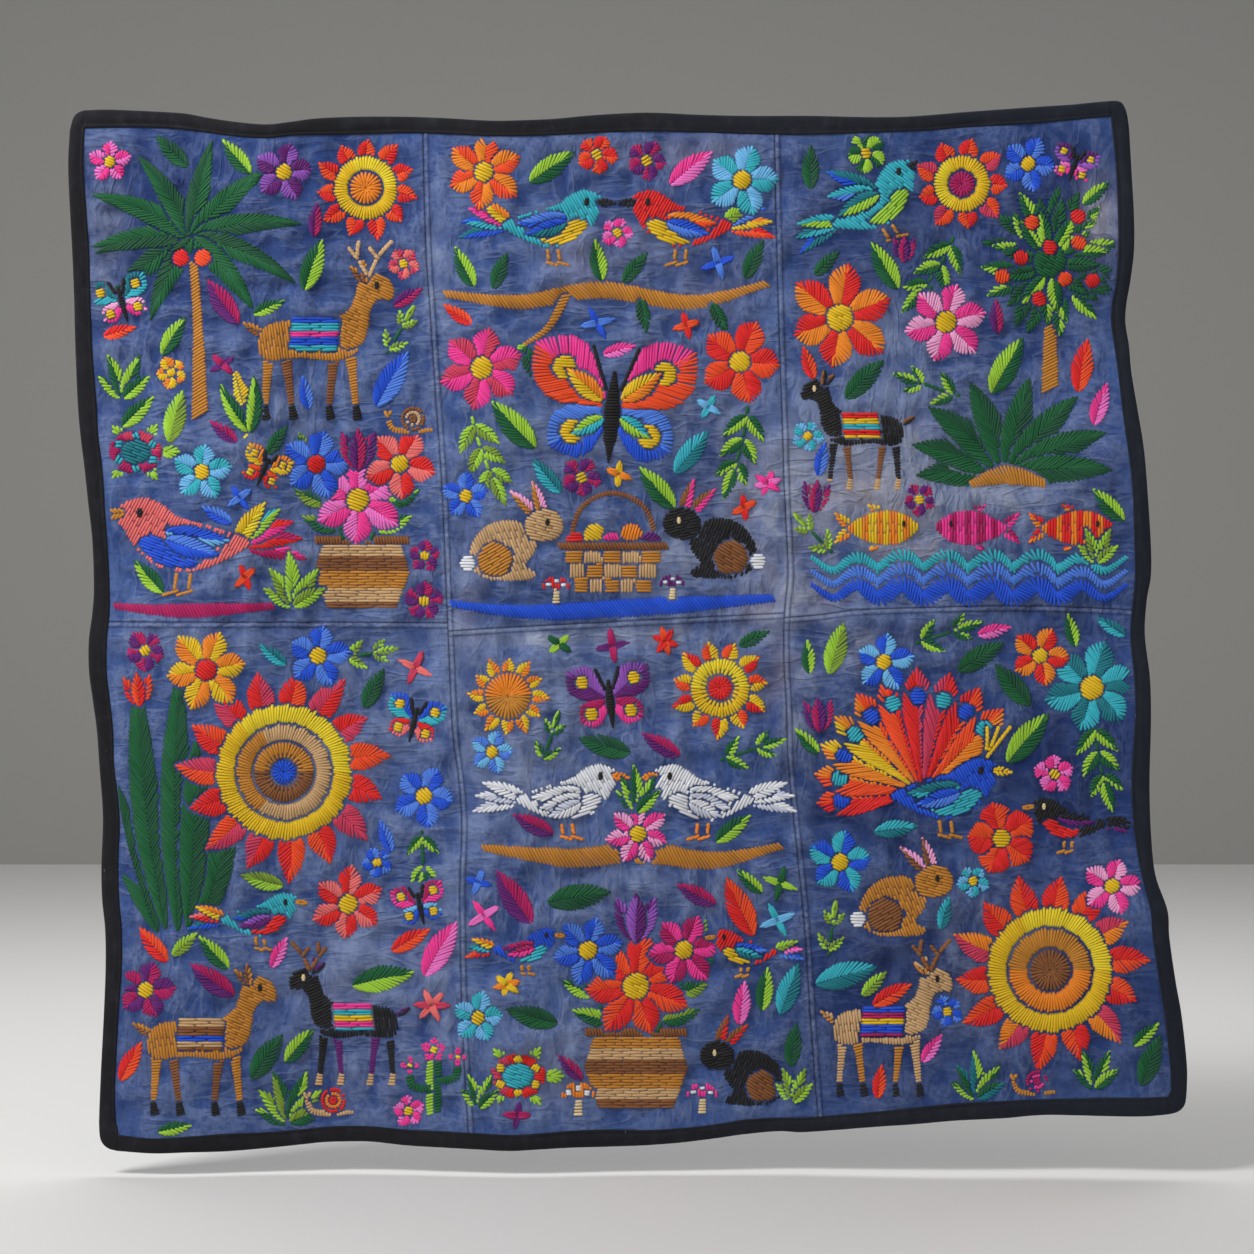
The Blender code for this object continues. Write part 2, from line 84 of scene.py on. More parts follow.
rightEdge = (
    (128, 1128.6, 1112.4), (170, 1131.0, 1116.3), (216, 1133.5, 1118.2), (251, 1133.5, 1118.6),
    (281, 1129.9, 1116.3), (303, 1126.1, 1112.2), (322, 1124.9, 1111.2), (345, 1128.4, 1114.4),
    (372, 1130.9, 1118.4), (411, 1137.4, 1123.0), (450, 1143.6, 1128.2), (494, 1147.3, 1133.2),
    (549, 1150.6, 1135.5), (577, 1150.4, 1135.7), (598, 1146.6, 1133.6), (634, 1144.4, 1130.8),
    (678, 1149.5, 1133.9), (717, 1150.6, 1134.9), (785, 1149.1, 1131.4), (837, 1150.8, 1134.9),
    (876, 1155.2, 1142.0), (911, 1167.2, 1150.6), (936, 1168.8, 1152.0), (982, 1175.3, 1159.0),
    (1014, 1181.0, 1164.8), (1067, 1186.6, 1170.4), (1090, 1186.4, 1171.4),
)
edges = {"top": topEdge, "bottom": bottomEdge, "left": leftEdge, "right": rightEdge}
# Outer corners, each as the points between its two edges
corners = {
    ("left", "top"): ((78.6, 112.8), (73.6, 118.4)), ("right", "top"): ((1120.6, 102.4), (1126.0, 112.0)),
    ("right", "bottom"): ((1177.6, 1111.4), (1184.4, 1104.4)),
    ("left", "bottom"): ((107.6, 1147.6), (100.8, 1139.0)),
}
# The two column seams as y, x, and the row seam of each column as x, y
columnSeams = (
    (
        (120, 423.0), (243, 426.0), (320, 431.0), (396, 436.0), (488, 442.4), (560, 445.4), (632, 448.4),
        (675, 450.2), (740, 453.8), (775, 458.6), (824, 462.2), (885, 460.2), (982, 461.4), (1060, 464.2),
        (1140, 469.2),
    ),
    (
        (120, 774.4), (243, 777.0), (345, 779.8), (430, 782.8), (488, 784.4), (548, 787.4), (576, 788.4),
        (614, 784.8), (660, 784.2), (700, 786.4), (760, 788.4), (842, 796.4), (925, 804.6), (1023, 811.0),
        (1130, 819.2),
    ),
)
rowSeams = (
    ((90, 622.0), (200, 622.6), (320, 622.4), (460, 623.2)),
    ((440, 632.0), (497, 628.2), (573, 624.0), (650, 620.0), (726, 616.2), (800, 612.6)),
    ((775, 618.6), (820, 615.0), (856, 610.4), (933, 607.6), (1010, 605.8), (1090, 608.0), (1160, 612.0)),
)
# Hanging folds: x at the top and bottom, half width there, and how far each stands forward in metres
folds = (
    (268, 160, 62, 78, 0.0090, 0.0130), (385, 348, 54, 62, -0.0020, -0.0060),
    (500, 516, 66, 80, 0.0075, 0.0110), (655, 775, 60, 78, -0.0020, -0.0060),
    (870, 950, 88, 84, 0.0065, 0.0040), (1112, 1158, 64, 76, 0.0020, 0.0120),
)
# Swells and hollows: centre, half width, half height, and how far each stands forward in metres
swells = (
    (1130, 236, 96, 58, 0.0065), (1124, 322, 110, 46, -0.0050), (1146, 500, 120, 88, 0.0070),
    (1142, 632, 130, 48, -0.0055), (1150, 722, 120, 66, 0.0045), (1172, 925, 110, 64, 0.0050),
    (74, 168, 90, 60, 0.0045), (94, 580, 100, 60, -0.0035), (88, 656, 96, 50, 0.0060),
    (104, 850, 110, 76, -0.0035), (600, 622, 420, 54, -0.0032), (620, 440, 110, 110, 0.0040),
    (640, 830, 130, 90, 0.0045), (950, 745, 120, 110, 0.0048), (270, 760, 120, 110, 0.0040),
    (300, 360, 120, 120, 0.0035),
)


def curveValue(table, places, column=1):  # a smooth curve through a table's rows
    rows = np.array(table, float)
    places = np.asarray(places, float)
    start = np.clip(np.searchsorted(rows[:, 0], places) - 1, 0, len(rows) - 2)
    before = np.maximum(start - 1, 0)
    after = np.minimum(start + 2, len(rows) - 1)
    along, value = rows[:, 0], rows[:, column]
    span = along[start + 1] - along[start]
    share = np.clip((places - along[start]) / span, -0.4, 1.4)
    startSlope = (value[start + 1] - value[before]) / (along[start + 1] - along[before]) * span
    endSlope = (value[after] - value[start]) / (along[after] - along[start]) * span
    inside = np.clip(share, 0.0, 1.0)
    square, cube = inside ** 2, inside ** 3
    smooth = (
        (2 * cube - 3 * square + 1) * value[start] + (cube - 2 * square + inside) * startSlope
        + (3 * square - 2 * cube) * value[start + 1] + (cube - square) * endSlope
    )
    return smooth + np.minimum(share, 0.0) * startSlope + np.maximum(share - 1, 0.0) * endSlope


def bell(offset):
    return np.exp(-1.1 * offset * offset)


def clothRise(x, y):  # the large folds, in metres towards the viewer
    drop = np.clip((y - 115) / 1020, 0.0, 1.0)
    rise = 0.010 + 0.002 * drop
    for topX, bottomX, topHalf, bottomHalf, topRise, bottomRise in folds:
        middle = topX + (bottomX - topX) * drop
        half = topHalf + (bottomHalf - topHalf) * drop
        rise = rise + (topRise + (bottomRise - topRise) * drop) * bell((x - middle) / half)
    for centreX, centreY, halfX, halfY, height in swells:
        rise = rise + height * bell((x - centreX) / halfX) * bell((y - centreY) / halfY)
    return rise


def along(start, end, share):
    return tuple(a + (b - a) * share for a, b in zip(start, end))


# Small puckers and creases are kept on a coarse map of the cloth and read back smoothly
reliefCell = 2.0
reliefCells = 640
relief = np.zeros((reliefCells, reliefCells))


def readMap(values, x, y):
    column = np.clip(np.asarray(x, float) / reliefCell, 0, values.shape[1] - 1.001)
    row = np.clip(np.asarray(y, float) / reliefCell, 0, values.shape[0] - 1.001)
    left, upper = column.astype(int), row.astype(int)
    acrossShare, downShare = column - left, row - upper
    top = values[upper, left] * (1 - acrossShare) + values[upper, left + 1] * acrossShare
    low = values[upper + 1, left] * (1 - acrossShare) + values[upper + 1, left + 1] * acrossShare
    return top * (1 - downShare) + low * downShare


seamRelief = {
    "band": 4.6, "bandRise": 0.50 * mm, "groove": 0.75 * mm, "stitchDip": 0.32 * mm, "fall": 0.20 * mm,
}


def hump(offset, half):  # 1 in the middle, falling softly on both sides
    return np.exp(-(offset / half) ** 2)


def seamProfile(offset):  # height across a seam: a pressed turning on one side, held by a row of stitches
    band = seamRelief["band"]
    plateau = 1 / (1 + np.exp(-(offset - 0.5) / 0.45)) / (1 + np.exp((offset - band - 0.9) / 0.8))
    return (
        seamRelief["bandRise"] * plateau - seamRelief["groove"] * hump(offset - 0.1, 0.9)
        - seamRelief["stitchDip"] * hump(offset - band, 0.9) + seamRelief["fall"] * hump(offset + 4.0, 2.6)
    )


def columnAt(x, y):
    return sum((x > curveValue(table, y)).astype(int) for table in columnSeams)


def seamOffsets(x, y):  # how far places lie beyond each seam, and which of them that seam runs past
    column = columnAt(x, y)
    yield from ((x - curveValue(table, y), True) for table in columnSeams)
    yield from ((y - curveValue(table, x), column == index) for index, table in enumerate(rowSeams))


def seamHeight(x, y):
    return sum(np.where(here, seamProfile(offset), 0.0) for offset, here in seamOffsets(x, y))


def fullRise(x, y):
    return clothRise(x, y) + readMap(relief, x, y) + seamHeight(x, y)


def place(x, y, lift, rise):  # a photograph's place on its line of sight, lifted off the cloth
    x, y = np.asarray(x, float), np.asarray(y, float)
    forward = rise(x, y)
    run = 2 * slopeStep * metresPerPixel
    slopeX = (clothRise(x + slopeStep, y) - clothRise(x - slopeStep, y)) / run
    slopeZ = -(clothRise(x, y + slopeStep) - clothRise(x, y - slopeStep)) / run
    length = np.sqrt(1 + slopeX ** 2 + slopeZ ** 2)
    spread = metresPerPixel * (photo["viewDistance"] - forward) / photo["viewDistance"]
    (centreX, centreY), (originX, originY) = photo["centre"], photo["originPixel"]
    return np.stack((
        (centreX - originX) * metresPerPixel + (x - centreX) * spread - lift * slopeX / length,
        -forward - lift / length,
        (originY - centreY) * metresPerPixel - (y - centreY) * spread - lift * slopeZ / length,
    ), axis=-1)


def linear(red, green, blue):  # screen values of 0 to 255 as linear light
    return tuple(
        (v / 12.92 if v <= 0.04045 else ((v + 0.055) / 1.055) ** 2.4)
        for v in (red / 255, green / 255, blue / 255)
    ) + (1.0,)


# The yarn, in the photograph's pixels but for its rise; small is how much larger the small motifs are sewn
yarn = {
    "pitch": 2.9, "width": 3.35, "rise": 1.3 * mm, "longest": 25.0, "cord": 7.0, "slim": 8.6, "small": 1.2,
    "shortest": 3.2, "eyeLift": 2.6, "seed": 7,
}
dice = random.Random(yarn["seed"])
stitches = {}
shapes = {"count": 0}


def newShape():  # each later shape hides what it lies over
    shapes["count"] += 1


def layStitch(colour, start, end, lift=0.0, width=1.0):
    stitches.setdefault(colour, []).append((*start, *end, lift, width, shapes["count"]))


def smoothPath(points, closed=False, steps=5):  # a soft curve through a few points
    count = len(points)
    result = []
    for index in range(count if closed else count - 1):
        if closed:
            a, b, c, d = (points[(index + step) % count] for step in (-1, 0, 1, 2))
        else:
            a, b, c, d = (points[min(max(index + step, 0), count - 1)] for step in (-1, 0, 1, 2))
        for step in range(steps):
            t = step / steps
            result.append(tuple(
                0.5 * (2 * b[axis] + (c[axis] - a[axis]) * t
                       + (2 * a[axis] - 5 * b[axis] + 4 * c[axis] - d[axis]) * t * t
                       + (3 * b[axis] - a[axis] - 3 * c[axis] + d[axis]) * t ** 3)
                for axis in (0, 1)
            ))
    return result if closed else result + [points[-1]]


# A motif's own points, up the cloth, put in place
def outline(points, x, y, size, flip=1, turn=0.0, soft=True):
    cosine, sine = cos(radians(turn)), sin(radians(turn))
    placed = []
    for right, up in points:
        right *= flip
        placed.append((x + size * (right * cosine + up * sine), y + size * (right * sine - up * cosine)))
    return smoothPath(placed, closed=True) if soft else placed


def polar(x, y, turn, reach):  # turn 0 points up the cloth
    return x + reach * sin(radians(turn)), y - reach * cos(radians(turn))


def heading(x, y, turn):  # gives the place so far ahead of x, y and so far aside
    sine, cosine = sin(radians(turn)), cos(radians(turn))
    return lambda ahead, across: (x + sine * ahead + cosine * across, y - cosine * ahead + sine * across)


# Two rows of slanted stitches that meet on a midline, evenly spaced at the rim
def petal(x, y, turn, length, width, left, right, bend=0.0, lift=0.0, peak=0.45):
    newShape()
    spot = heading(x, y, turn)
    power = log(0.5) / log(peak)
    # how far behind its tip a stitch starts, as a share of the length
    lead = min(0.20, 0.62 * width / length)

    def halfWidth(share):
        return width / 2 * max(sin(pi * share ** power), 0.0) ** 0.8

    def point(share, side):
        share = min(max(share, 0.0), 1.0)
        half = side * halfWidth(share)
        tilt = atan(2 * bend * share)
        ahead = length * share - half * sin(tilt)
        return spot(ahead, bend * length * share * share + half * cos(tilt))

    if width < yarn["slim"]:  # a slim leaf is a few long stitches side by side
        for side, colour in ((-1, left), (1, right)):
            for first, last in ((0.04, 0.56), (0.44, 1.0)):
                layStitch(colour, point(first, 0.55 * side), point(last, 0.45 * side), lift)
        return
    shares = np.linspace(0.04, 1.0, 26)
    halves = np.array([halfWidth(share) for share in shares])
    steep = np.maximum(halves / np.hypot(halves, lead * length * (1 + 0.5 * shares)), 0.5)
    for side, colour in ((-1, left), (1, right)):
        rim = np.diff([point(share, side) for share in shares], axis=0)
        reach = np.append(0.0, np.cumsum(np.linalg.norm(rim, axis=1) * (steep[1:] + steep[:-1]) / 2))
        rows = max(3, round(reach[-1] / (yarn["pitch"] * 0.82)))
        for row in range(rows):
            along01 = min(max((row + 0.35 + dice.uniform(-0.10, 0.10)) / (rows - 0.65), 0.0), 1.0)
            tipShare = float(np.interp(along01 * reach[-1], reach, shares))
            root = point(max(tipShare - lead * (1 + 0.5 * along01), 0.0), -0.07 * side)
            tip = point(tipShare, side * dice.uniform(0.96, 1.05))
            layStitch(colour, root, tip, lift)
    layStitch(right, point(0.80, 0.0), point(1.0, 0.0), lift + 0.1)


def measured(path):  # a path's points and how far along it each lies
    path = np.array(path, float)
    return path, np.concatenate(([0.0], np.cumsum(np.linalg.norm(np.diff(path, axis=0), axis=1))))


def spotOn(path, reach, here):
    return tuple(float(np.interp(here, reach, path[:, axis])) for axis in (0, 1))


# Stitches laid side by side across a curved bar; trim is a second colour on its right half
def satinBar(points, widths, colour, slant, lift=0.0, trim=None):
    newShape()
    path, reach = measured(smoothPath(points, steps=8))
    count = max(2, round(reach[-1] / (yarn["pitch"] * hypot(1, slant))))
    for index in range(count + 1):
        here = reach[-1] * index / count
        x, y = spotOn(path, reach, here)
        ahead, behind = (spotOn(path, reach, here + way) for way in (2.0, -2.0))
        dx, dy = ahead[0] - behind[0], ahead[1] - behind[1]
        size = hypot(dx, dy) or 1.0
        dx, dy = dx / size, dy / size
        half = np.interp(index / count, np.linspace(0, 1, len(widths)), widths) / 2 * dice.uniform(0.94, 1.07)
        first = (x + dy * half - dx * half * slant, y - dx * half - dy * half * slant)
        last = (x - dy * half + dx * half * slant, y + dx * half + dy * half * slant)
        layStitch(colour, first, (x, y) if trim else last, lift)
        if trim:
            layStitch(trim, (x, y), last, lift)


# Parallel stitches inside an outline, split like bricks where they would be too long
def fillShape(points, turn, colours, lift=0.0, longest=yarn["longest"]):
    newShape()
    if isinstance(colours, str):
        colours = ((colours, 1000.0),)
    angle = radians(turn)
    way, across = (cos(angle), sin(angle)), (-sin(angle), cos(angle))
    flat = [(px * way[0] + py * way[1], px * across[0] + py * across[1]) for px, py in points]
    low, high = min(p[1] for p in flat), max(p[1] for p in flat)
    rows = max(1, round((high - low) / yarn["pitch"]))
    pitch = (high - low) / rows
    total = sum(depth for _, depth in colours)
    for row in range(rows):
        level = low + (row + 0.5) * pitch
        hits = []
        for index, a in enumerate(flat):
            b = flat[(index + 1) % len(flat)]
            if (a[1] > level) != (b[1] > level):
                hits.append(a[0] + (level - a[1]) / (b[1] - a[1]) * (b[0] - a[0]))
        hits.sort()
        depth, colour = (level - low) % total, colours[-1][0]
        for name, size in colours:
            if depth < size:
                colour = name
                break
            depth -= size
        for first, last in zip(hits[::2], hits[1::2]):
            reach = last - first
            if reach < 2.0:
                continue
            parts = max(1, ceil(reach / longest))
            cuts = [first + dice.uniform(-0.5, 0.6)]
            for part in range(1, parts):
                shift = (0.25 if row % 2 else -0.25) + dice.uniform(-0.12, 0.12)
                cuts.append(first + reach * (part + shift) / parts)
            cuts.append(last + dice.uniform(-0.6, 0.5))
            for begin, end in zip(cuts, cuts[1:]):
                lean = dice.uniform(-0.45, 0.45)
                ends = ((begin - 0.9, level + lean), (end + 0.9, level - lean))
                layStitch(colour, *((u * way[0] + v * across[0], u * way[1] + v * across[1]) for u,
                    v in ends), lift)


def disc(x, y, radius, colours, turn=0.0, lift=0.0, squash=1.0):
    angles = [2 * pi * step / 18 for step in range(18)]
    points = [(x + radius * cos(angle), y + radius * squash * sin(angle)) for angle in angles]
    fillShape(points, turn, colours, lift)


def ring(x, y, inside, outside, colours, lift, squash=1.0):  # stitches that point at the middle
    newShape()
    count = max(5, round(2 * pi * (inside * 0.35 + outside * 0.65) / yarn["pitch"]))
    for index in range(count):
        angle = 2 * pi * index / count
        colour = colours[int(index / count * len(colours)) % len(colours)]
        near = inside + (outside - inside) * (0.3 if index % 2 and inside < outside * 0.45 else 0.0)
        ends = ((near, angle), (outside * dice.uniform(0.97, 1.03), angle + 0.05))
        layStitch(colour, *((x + out * cos(way), y + out * squash * sin(way)) for out, way in ends), lift)


def stemLine(points, colour, width=1.15, lift=0.1):  # short stitches that overlap like a cord
    newShape()
    path, reach = measured(smoothPath(points, steps=8))
    count = max(1, round(reach[-1] / (yarn["cord"] * 0.62)))
    for index in range(count):
        begin = reach[-1] * index / count
        a, b = spotOn(path, reach, begin), spotOn(path, reach, begin + yarn["cord"])
        size = hypot(b[0] - a[0], b[1] - a[1]) or 1.0
        asideX, asideY = -(b[1] - a[1]) / size * 0.6, (b[0] - a[0]) / size * 0.6
        layStitch(colour, (a[0] + asideX, a[1] + asideY), (b[0] - asideX, b[1] - asideY), lift, width)


def eye(x, y, coat="", size=1.0):  # it lies on its animal and hides nothing
    colour = "cream" if coat == "black" else "black"
    for row in (-1, 0, 1):
        reach = (3.0 if row == 0 else 2.2) * size
        level = y + row * 2.2 * size
        layStitch(colour, (x - reach, level), (x + reach, level), yarn["eyeLift"])


def flower(x, y, size, count, outer, inner, heart, turn=0.0, fat=1.0):
    size *= yarn["small"]
    for index in range(count):
        angle = turn + 360 * index / count
        reach = size * dice.uniform(0.92, 1.08)
        width = fat * 4.25 * size / count
        petal(*polar(x, y, angle, size * 0.12), angle, reach, width, outer, inner, bend=0.06, peak=0.6)
    disc(x, y, size * 0.27, heart, turn + 20, lift=0.8)


def spark(x, y, size, colours, count, turn):  # crossed bars of three long stitches, as small stars are sewn
    size *= yarn["small"]
    newShape()
    for index in range(count):
        spot = heading(x, y, turn + 180 * index / count + dice.uniform(-14, 14))
        for strand in (-1, 0, 1):
            across = strand * yarn["pitch"] * 0.9
            for way in (-1, 1):
                reach = size * (1 - 0.16 * abs(strand)) * dice.uniform(0.92, 1.06)
                layStitch(colours[index % len(colours)], spot(0, across), spot(way * reach, across / 2),
                    0.9 * index)


def sprig(x, y, turn, length, leaf, colours, stem="green", pairs=3, bend=0.0):
    leaf *= yarn["small"]
    spot = heading(x, y, turn)

    def point(share):
        return spot(length * share, bend * length * share * share)

    stemLine([point(share) for share in (0.0, 0.35, 0.7, 1.0)], stem)
    lean = degrees(atan(2 * bend))
    for index in range(pairs):
        share = 0.15 + 0.7 * index / max(pairs - 1, 1)
        base = point(share)
        for side in (-1, 1):
            tint, other = (colours[(index + more + (side > 0)) % len(colours)] for more in (0, 1))
            way = turn + lean * share + side * 48
            petal(*base, way, leaf * (1.05 - 0.3 * share), leaf * 0.46, tint, other, bend=-0.12 * side)
    petal(*point(0.96), turn + lean, leaf, leaf * 0.42, colours[0], colours[-1])


def tuft(x, y, size, colours, count, spread):  # a clump of grass or a small leafy plant
    size *= yarn["small"]
    for index in range(count):
        angle = -spread / 2 + spread * index / (count - 1)
        reach = size * (1.0 - 0.35 * abs(angle) / (spread / 2))
        shades = (colours[(index + more) % len(colours)] for more in (0, 1))
        petal(x, y, angle, reach, size * 0.30, *shades, bend=0.10 if angle > 0 else -0.10)


def tulip(x, y, size, turn, outer, inner):
    size *= yarn["small"]
    for angle, shade, other in ((-24, outer, inner), (24, outer, inner), (0, inner, outer)):
        petal(x, y, turn + angle, size, size * 0.42, shade, other, lift=0.5 if angle == 0 else 0.0, peak=0.5)


def butterfly(x, y, size, turn, upper, lower, spots):
    size *= yarn["small"]
    for side in (-1, 1):
        for angle, reach, width, shades in ((52, size, 0.66, upper), (122, size * 0.72, 0.52, lower)):
            petal(x, y, turn + side * angle, reach, size * width, *shades[::-side], peak=0.62)
        for angle, share in ((52, 0.62), (122, 0.44)):
            disc(*polar(x, y, turn + side * angle, size * share), size * 0.11, spots, turn, lift=0.9)
        tip = polar(x, y, turn + side * 20, size * 0.66)
        stemLine([(x, y), along((x, y), tip, 0.6), tip], "black", lift=0.3)
    body = [polar(x, y, turn, -0.5 * size), (x, y), polar(x, y, turn, 0.36 * size)]
    satinBar(body, (2, size * 0.13, size * 0.17, size * 0.13, 4), "black", slant=0.1, lift=0.9)


def placer(*put):  # gives places on a motif by shares right and up; put is x, y, size, flip, turn
    return lambda right, up: outline(((right, up),), *put, soft=False)[0]


def framed(x, y, wide, high):  # the same, by shares of a width and a height
    return lambda right, up: (x + wide * right, y - high * up)


birdBody = (
    (0.95, 0.34), (0.84, 0.52), (0.58, 0.60), (0.34, 0.50), (0.12, 0.34), (-0.34, 0.20), (-0.76, 0.02),
    (-0.42, -0.22), (0.0, -0.35), (0.42, -0.28), (0.72, -0.02), (0.84, 0.18),
)


def bird(x, y, size, flip, coat, breast, wings, tail, beak="ochre", turn=0.0, legs="ochre", lifted=False):
    at = placer(x, y, size, flip, turn)
    for index, (shade, other) in enumerate(tail):
        angle = (-98 + 17 * index) * flip + turn
        petal(*at(-0.60, 0.02), angle, size * (0.92 - 0.07 * index), size * 0.24, shade, other,
            bend=-0.10 * flip)
    for share in (-0.02, 0.16):
        foot = at(share + 0.04, -0.62)
        stemLine([at(share, -0.30), foot], legs, width=1.2)
        stemLine([along(foot, at(share + 0.20, -0.68), -0.4), at(share + 0.20, -0.66)], legs, width=1.1)
    fillShape(outline(birdBody, x, y, size, flip, turn), turn + 62 * flip, coat)
    belly = ((0.66, 0.02), (0.40, -0.24), (0.02, -0.30), (-0.16, -0.16), (0.20, -0.06), (0.46, 0.10))
    fillShape(outline(belly, x, y, size, flip, turn), turn - 20 * flip, breast, lift=0.6)
    for index, (shade, other) in enumerate(wings):
        if lifted:
            petal(*at(0.16, 0.18), (-34 - 26 * index) * flip + turn, size * (0.98 - 0.1 * index), size * 0.30,
                  shade, other, bend=-0.15 * flip, lift=0.7)
        else:
            petal(*at(0.30, 0.16 - 0.10 * index), (-104 - 8 * index) * flip + turn,
                size * (0.82 - 0.12 * index),
                  size * 0.27, shade, other, bend=0.10 * flip, lift=0.7)
    petal(*at(0.84, 0.40), 96 * flip + turn, size * 0.30, size * 0.15, beak, beak, lift=0.3)
    eye(*at(0.64, 0.40), coat, max(0.5, size / 60))


fishBody = (
    (0.92, 0.02), (0.66, 0.28), (0.20, 0.39), (-0.30, 0.25), (-0.58, 0.06), (-0.58, -0.06), (-0.30, -0.25),
    (0.20, -0.38), (0.66, -0.26),
)


def fish(x, y, size, flip, bands, fin, tail):
    at = placer(x, y, size, flip)
    for side in (-1, 1):
        petal(*at(-0.50, 0.0), (-90 + side * 34) * flip, size * 0.52, size * 0.24, *tail,
            bend=0.1 * side * flip)
    petal(*at(0.20, 0.30), -62 * flip, size * 0.44, size * 0.20, *fin)
    petal(*at(0.14, -0.30), -122 * flip, size * 0.34, size * 0.18, *fin)
    fillShape(outline(fishBody, x, y, size, flip), 90, bands)
    eye(*at(0.60, 0.09), size=max(0.5, size / 70))


deerHead = (
    (0.98, 0.74), (0.90, 0.90), (0.70, 0.96), (0.54, 0.86), (0.44, 0.56), (0.22, 0.34), (0.34, 0.04),
    (0.60, 0.12), (0.68, 0.50), (0.78, 0.64), (0.94, 0.64),
)
deerTrunk = (
    (0.52, 0.36), (0.10, 0.33), (-0.36, 0.38), (-0.64, 0.30), (-0.72, 0.06), (-0.60, -0.12), (-0.18, -0.08),
    (0.26, -0.12), (0.54, 0.02),
)


def deer(x, y, size, flip, coat, shade, hoof, blanket, horns=None):
    at = placer(x, y, size, flip)
    for hip, foot, tone in ((0.24, 0.16, shade), (-0.40, -0.30, shade), (0.42, 0.50, coat),
        (-0.58, -0.64, coat)):
        leg = [at(hip, 0.08), at((hip + foot) / 2, -0.30), at(foot, -0.72)]
        satinBar(leg, (size * 0.20, size * 0.12, size * 0.09), tone, slant=0.15)
        satinBar([at(foot, -0.70), at(foot + 0.02, -0.84)], (size * 0.10, size * 0.13), hoof, slant=0.1)
    petal(*at(-0.66, 0.20), -58 * flip, size * 0.30, size * 0.13, shade, coat)
    fillShape(outline(deerTrunk, x, y, size, flip), 82, coat, longest=20)
    fillShape(outline(deerHead, x, y, size, flip), 24 * flip, coat, lift=0.3, longest=20)
    for angle in (-44, -6):
        petal(*at(0.62, 0.86), angle * flip, size * 0.28, size * 0.12, shade, coat, lift=0.4)
    if horns:
        for lean in (-0.10, 0.16):
            horn = [at(0.66, 0.92), at(0.62 + lean, 1.18), at(0.70 + 1.6 * lean, 1.38)]
            stemLine(horn, horns, width=1.4)
            stemLine([at(0.63 + lean, 1.14), at(0.50 + lean, 1.30)], horns, width=1.3)
    cover = ((0.30, 0.40), (-0.30, 0.42), (-0.34, 0.02), (0.26, 0.00))
    fillShape(outline(cover, x, y, size, flip, soft=False), 0, blanket, lift=0.8)
    eye(*at(0.76, 0.82), coat, max(0.5, size / 80))


rabbitBody = (
    (0.30, 0.28), (0.02, 0.42), (-0.36, 0.34), (-0.62, 0.02), (-0.60, -0.36), (-0.30, -0.54), (0.30, -0.54),
    (0.40, -0.44), (0.26, -0.30), (0.42, -0.04),
)
rabbitHead = ((0.86, 0.34), (0.74, 0.54), (0.48, 0.58), (0.26, 0.42), (0.28, 0.18), (0.50, 0.08),
    (0.76, 0.14))


def rabbit(x, y, size, flip, coat, shade, ear):
    at = placer(x, y, size, flip)
    for angle, root in ((-40, 0.44), (-12, 0.54)):
        petal(*at(root, 0.46), angle * flip, size * 0.62, size * 0.20, shade, ear, bend=-0.1 * flip)
    fillShape(outline(rabbitBody, x, y, size, flip), 68 * flip, coat, longest=18)
    fillShape(outline(rabbitHead, x, y, size, flip), 14 * flip, coat, lift=0.4, longest=18)
    haunch = ((0.0, -0.08), (-0.26, 0.06), (-0.50, -0.14), (-0.44, -0.42), (-0.12, -0.46), (0.02, -0.28))
    fillShape(outline(haunch, x, y, size, flip), -30 * flip, shade, lift=0.7)
    disc(*at(-0.68, -0.28), size * 0.12, "white", lift=0.3)
    eye(*at(0.60, 0.38), coat, max(0.5, size / 75))


def leafyTree(x, y, height, spread, trunk, leaves, fruit):
    stem = [(x, y), (x, y - height * 0.4), (x, y - height * 0.86)]
    satinBar(stem, (spread * 0.24, spread * 0.15, spread * 0.10), trunk, slant=0.5)
    middle = y - height * 0.80
    for layer in range(3):
        share = 1 - layer / 3.4
        count = round(6 + 9 * share)
        for index in range(count):
            angle = 360 * index / count + layer * 13 + dice.uniform(-4, 4)
            reach = spread * share * 0.52
            root = (x + reach * 0.86 * sin(radians(angle)), middle - reach * cos(radians(angle)))
            shades = (leaves[(index + layer + more) % len(leaves)] for more in (0, 1))
            petal(*root, angle + dice.uniform(-16, 16), spread * 0.44, spread * 0.19, *shades,
                lift=0.25 * layer)
    disc(x, middle, spread * 0.20, leaves[0], 30, lift=0.5)
    for index in range(9):
        spot = polar(x, middle, index * 139, spread * 0.68 * ((index + 0.6) / 9) ** 0.5)
        disc(*spot, spread * 0.085, fruit[index % len(fruit)], index * 40, lift=1.0)


def palm(x, y, height, reach, trunk, leaves, fronds, lean):
    top = (x + lean, y - height)
    stem = [(x, y), (x + lean * 0.25, y - height * 0.5), top]
    satinBar(stem, (reach * 0.17, reach * 0.10, reach * 0.08), trunk, slant=0.6)
    for index, (angle, bend, share) in enumerate(fronds):
        shades = (leaves[(index + more) % len(leaves)] for more in (0, 1))
        petal(*top, angle, reach * share, reach * 0.21, *shades, bend=bend, lift=0.15 * (index % 3), peak=0.4)


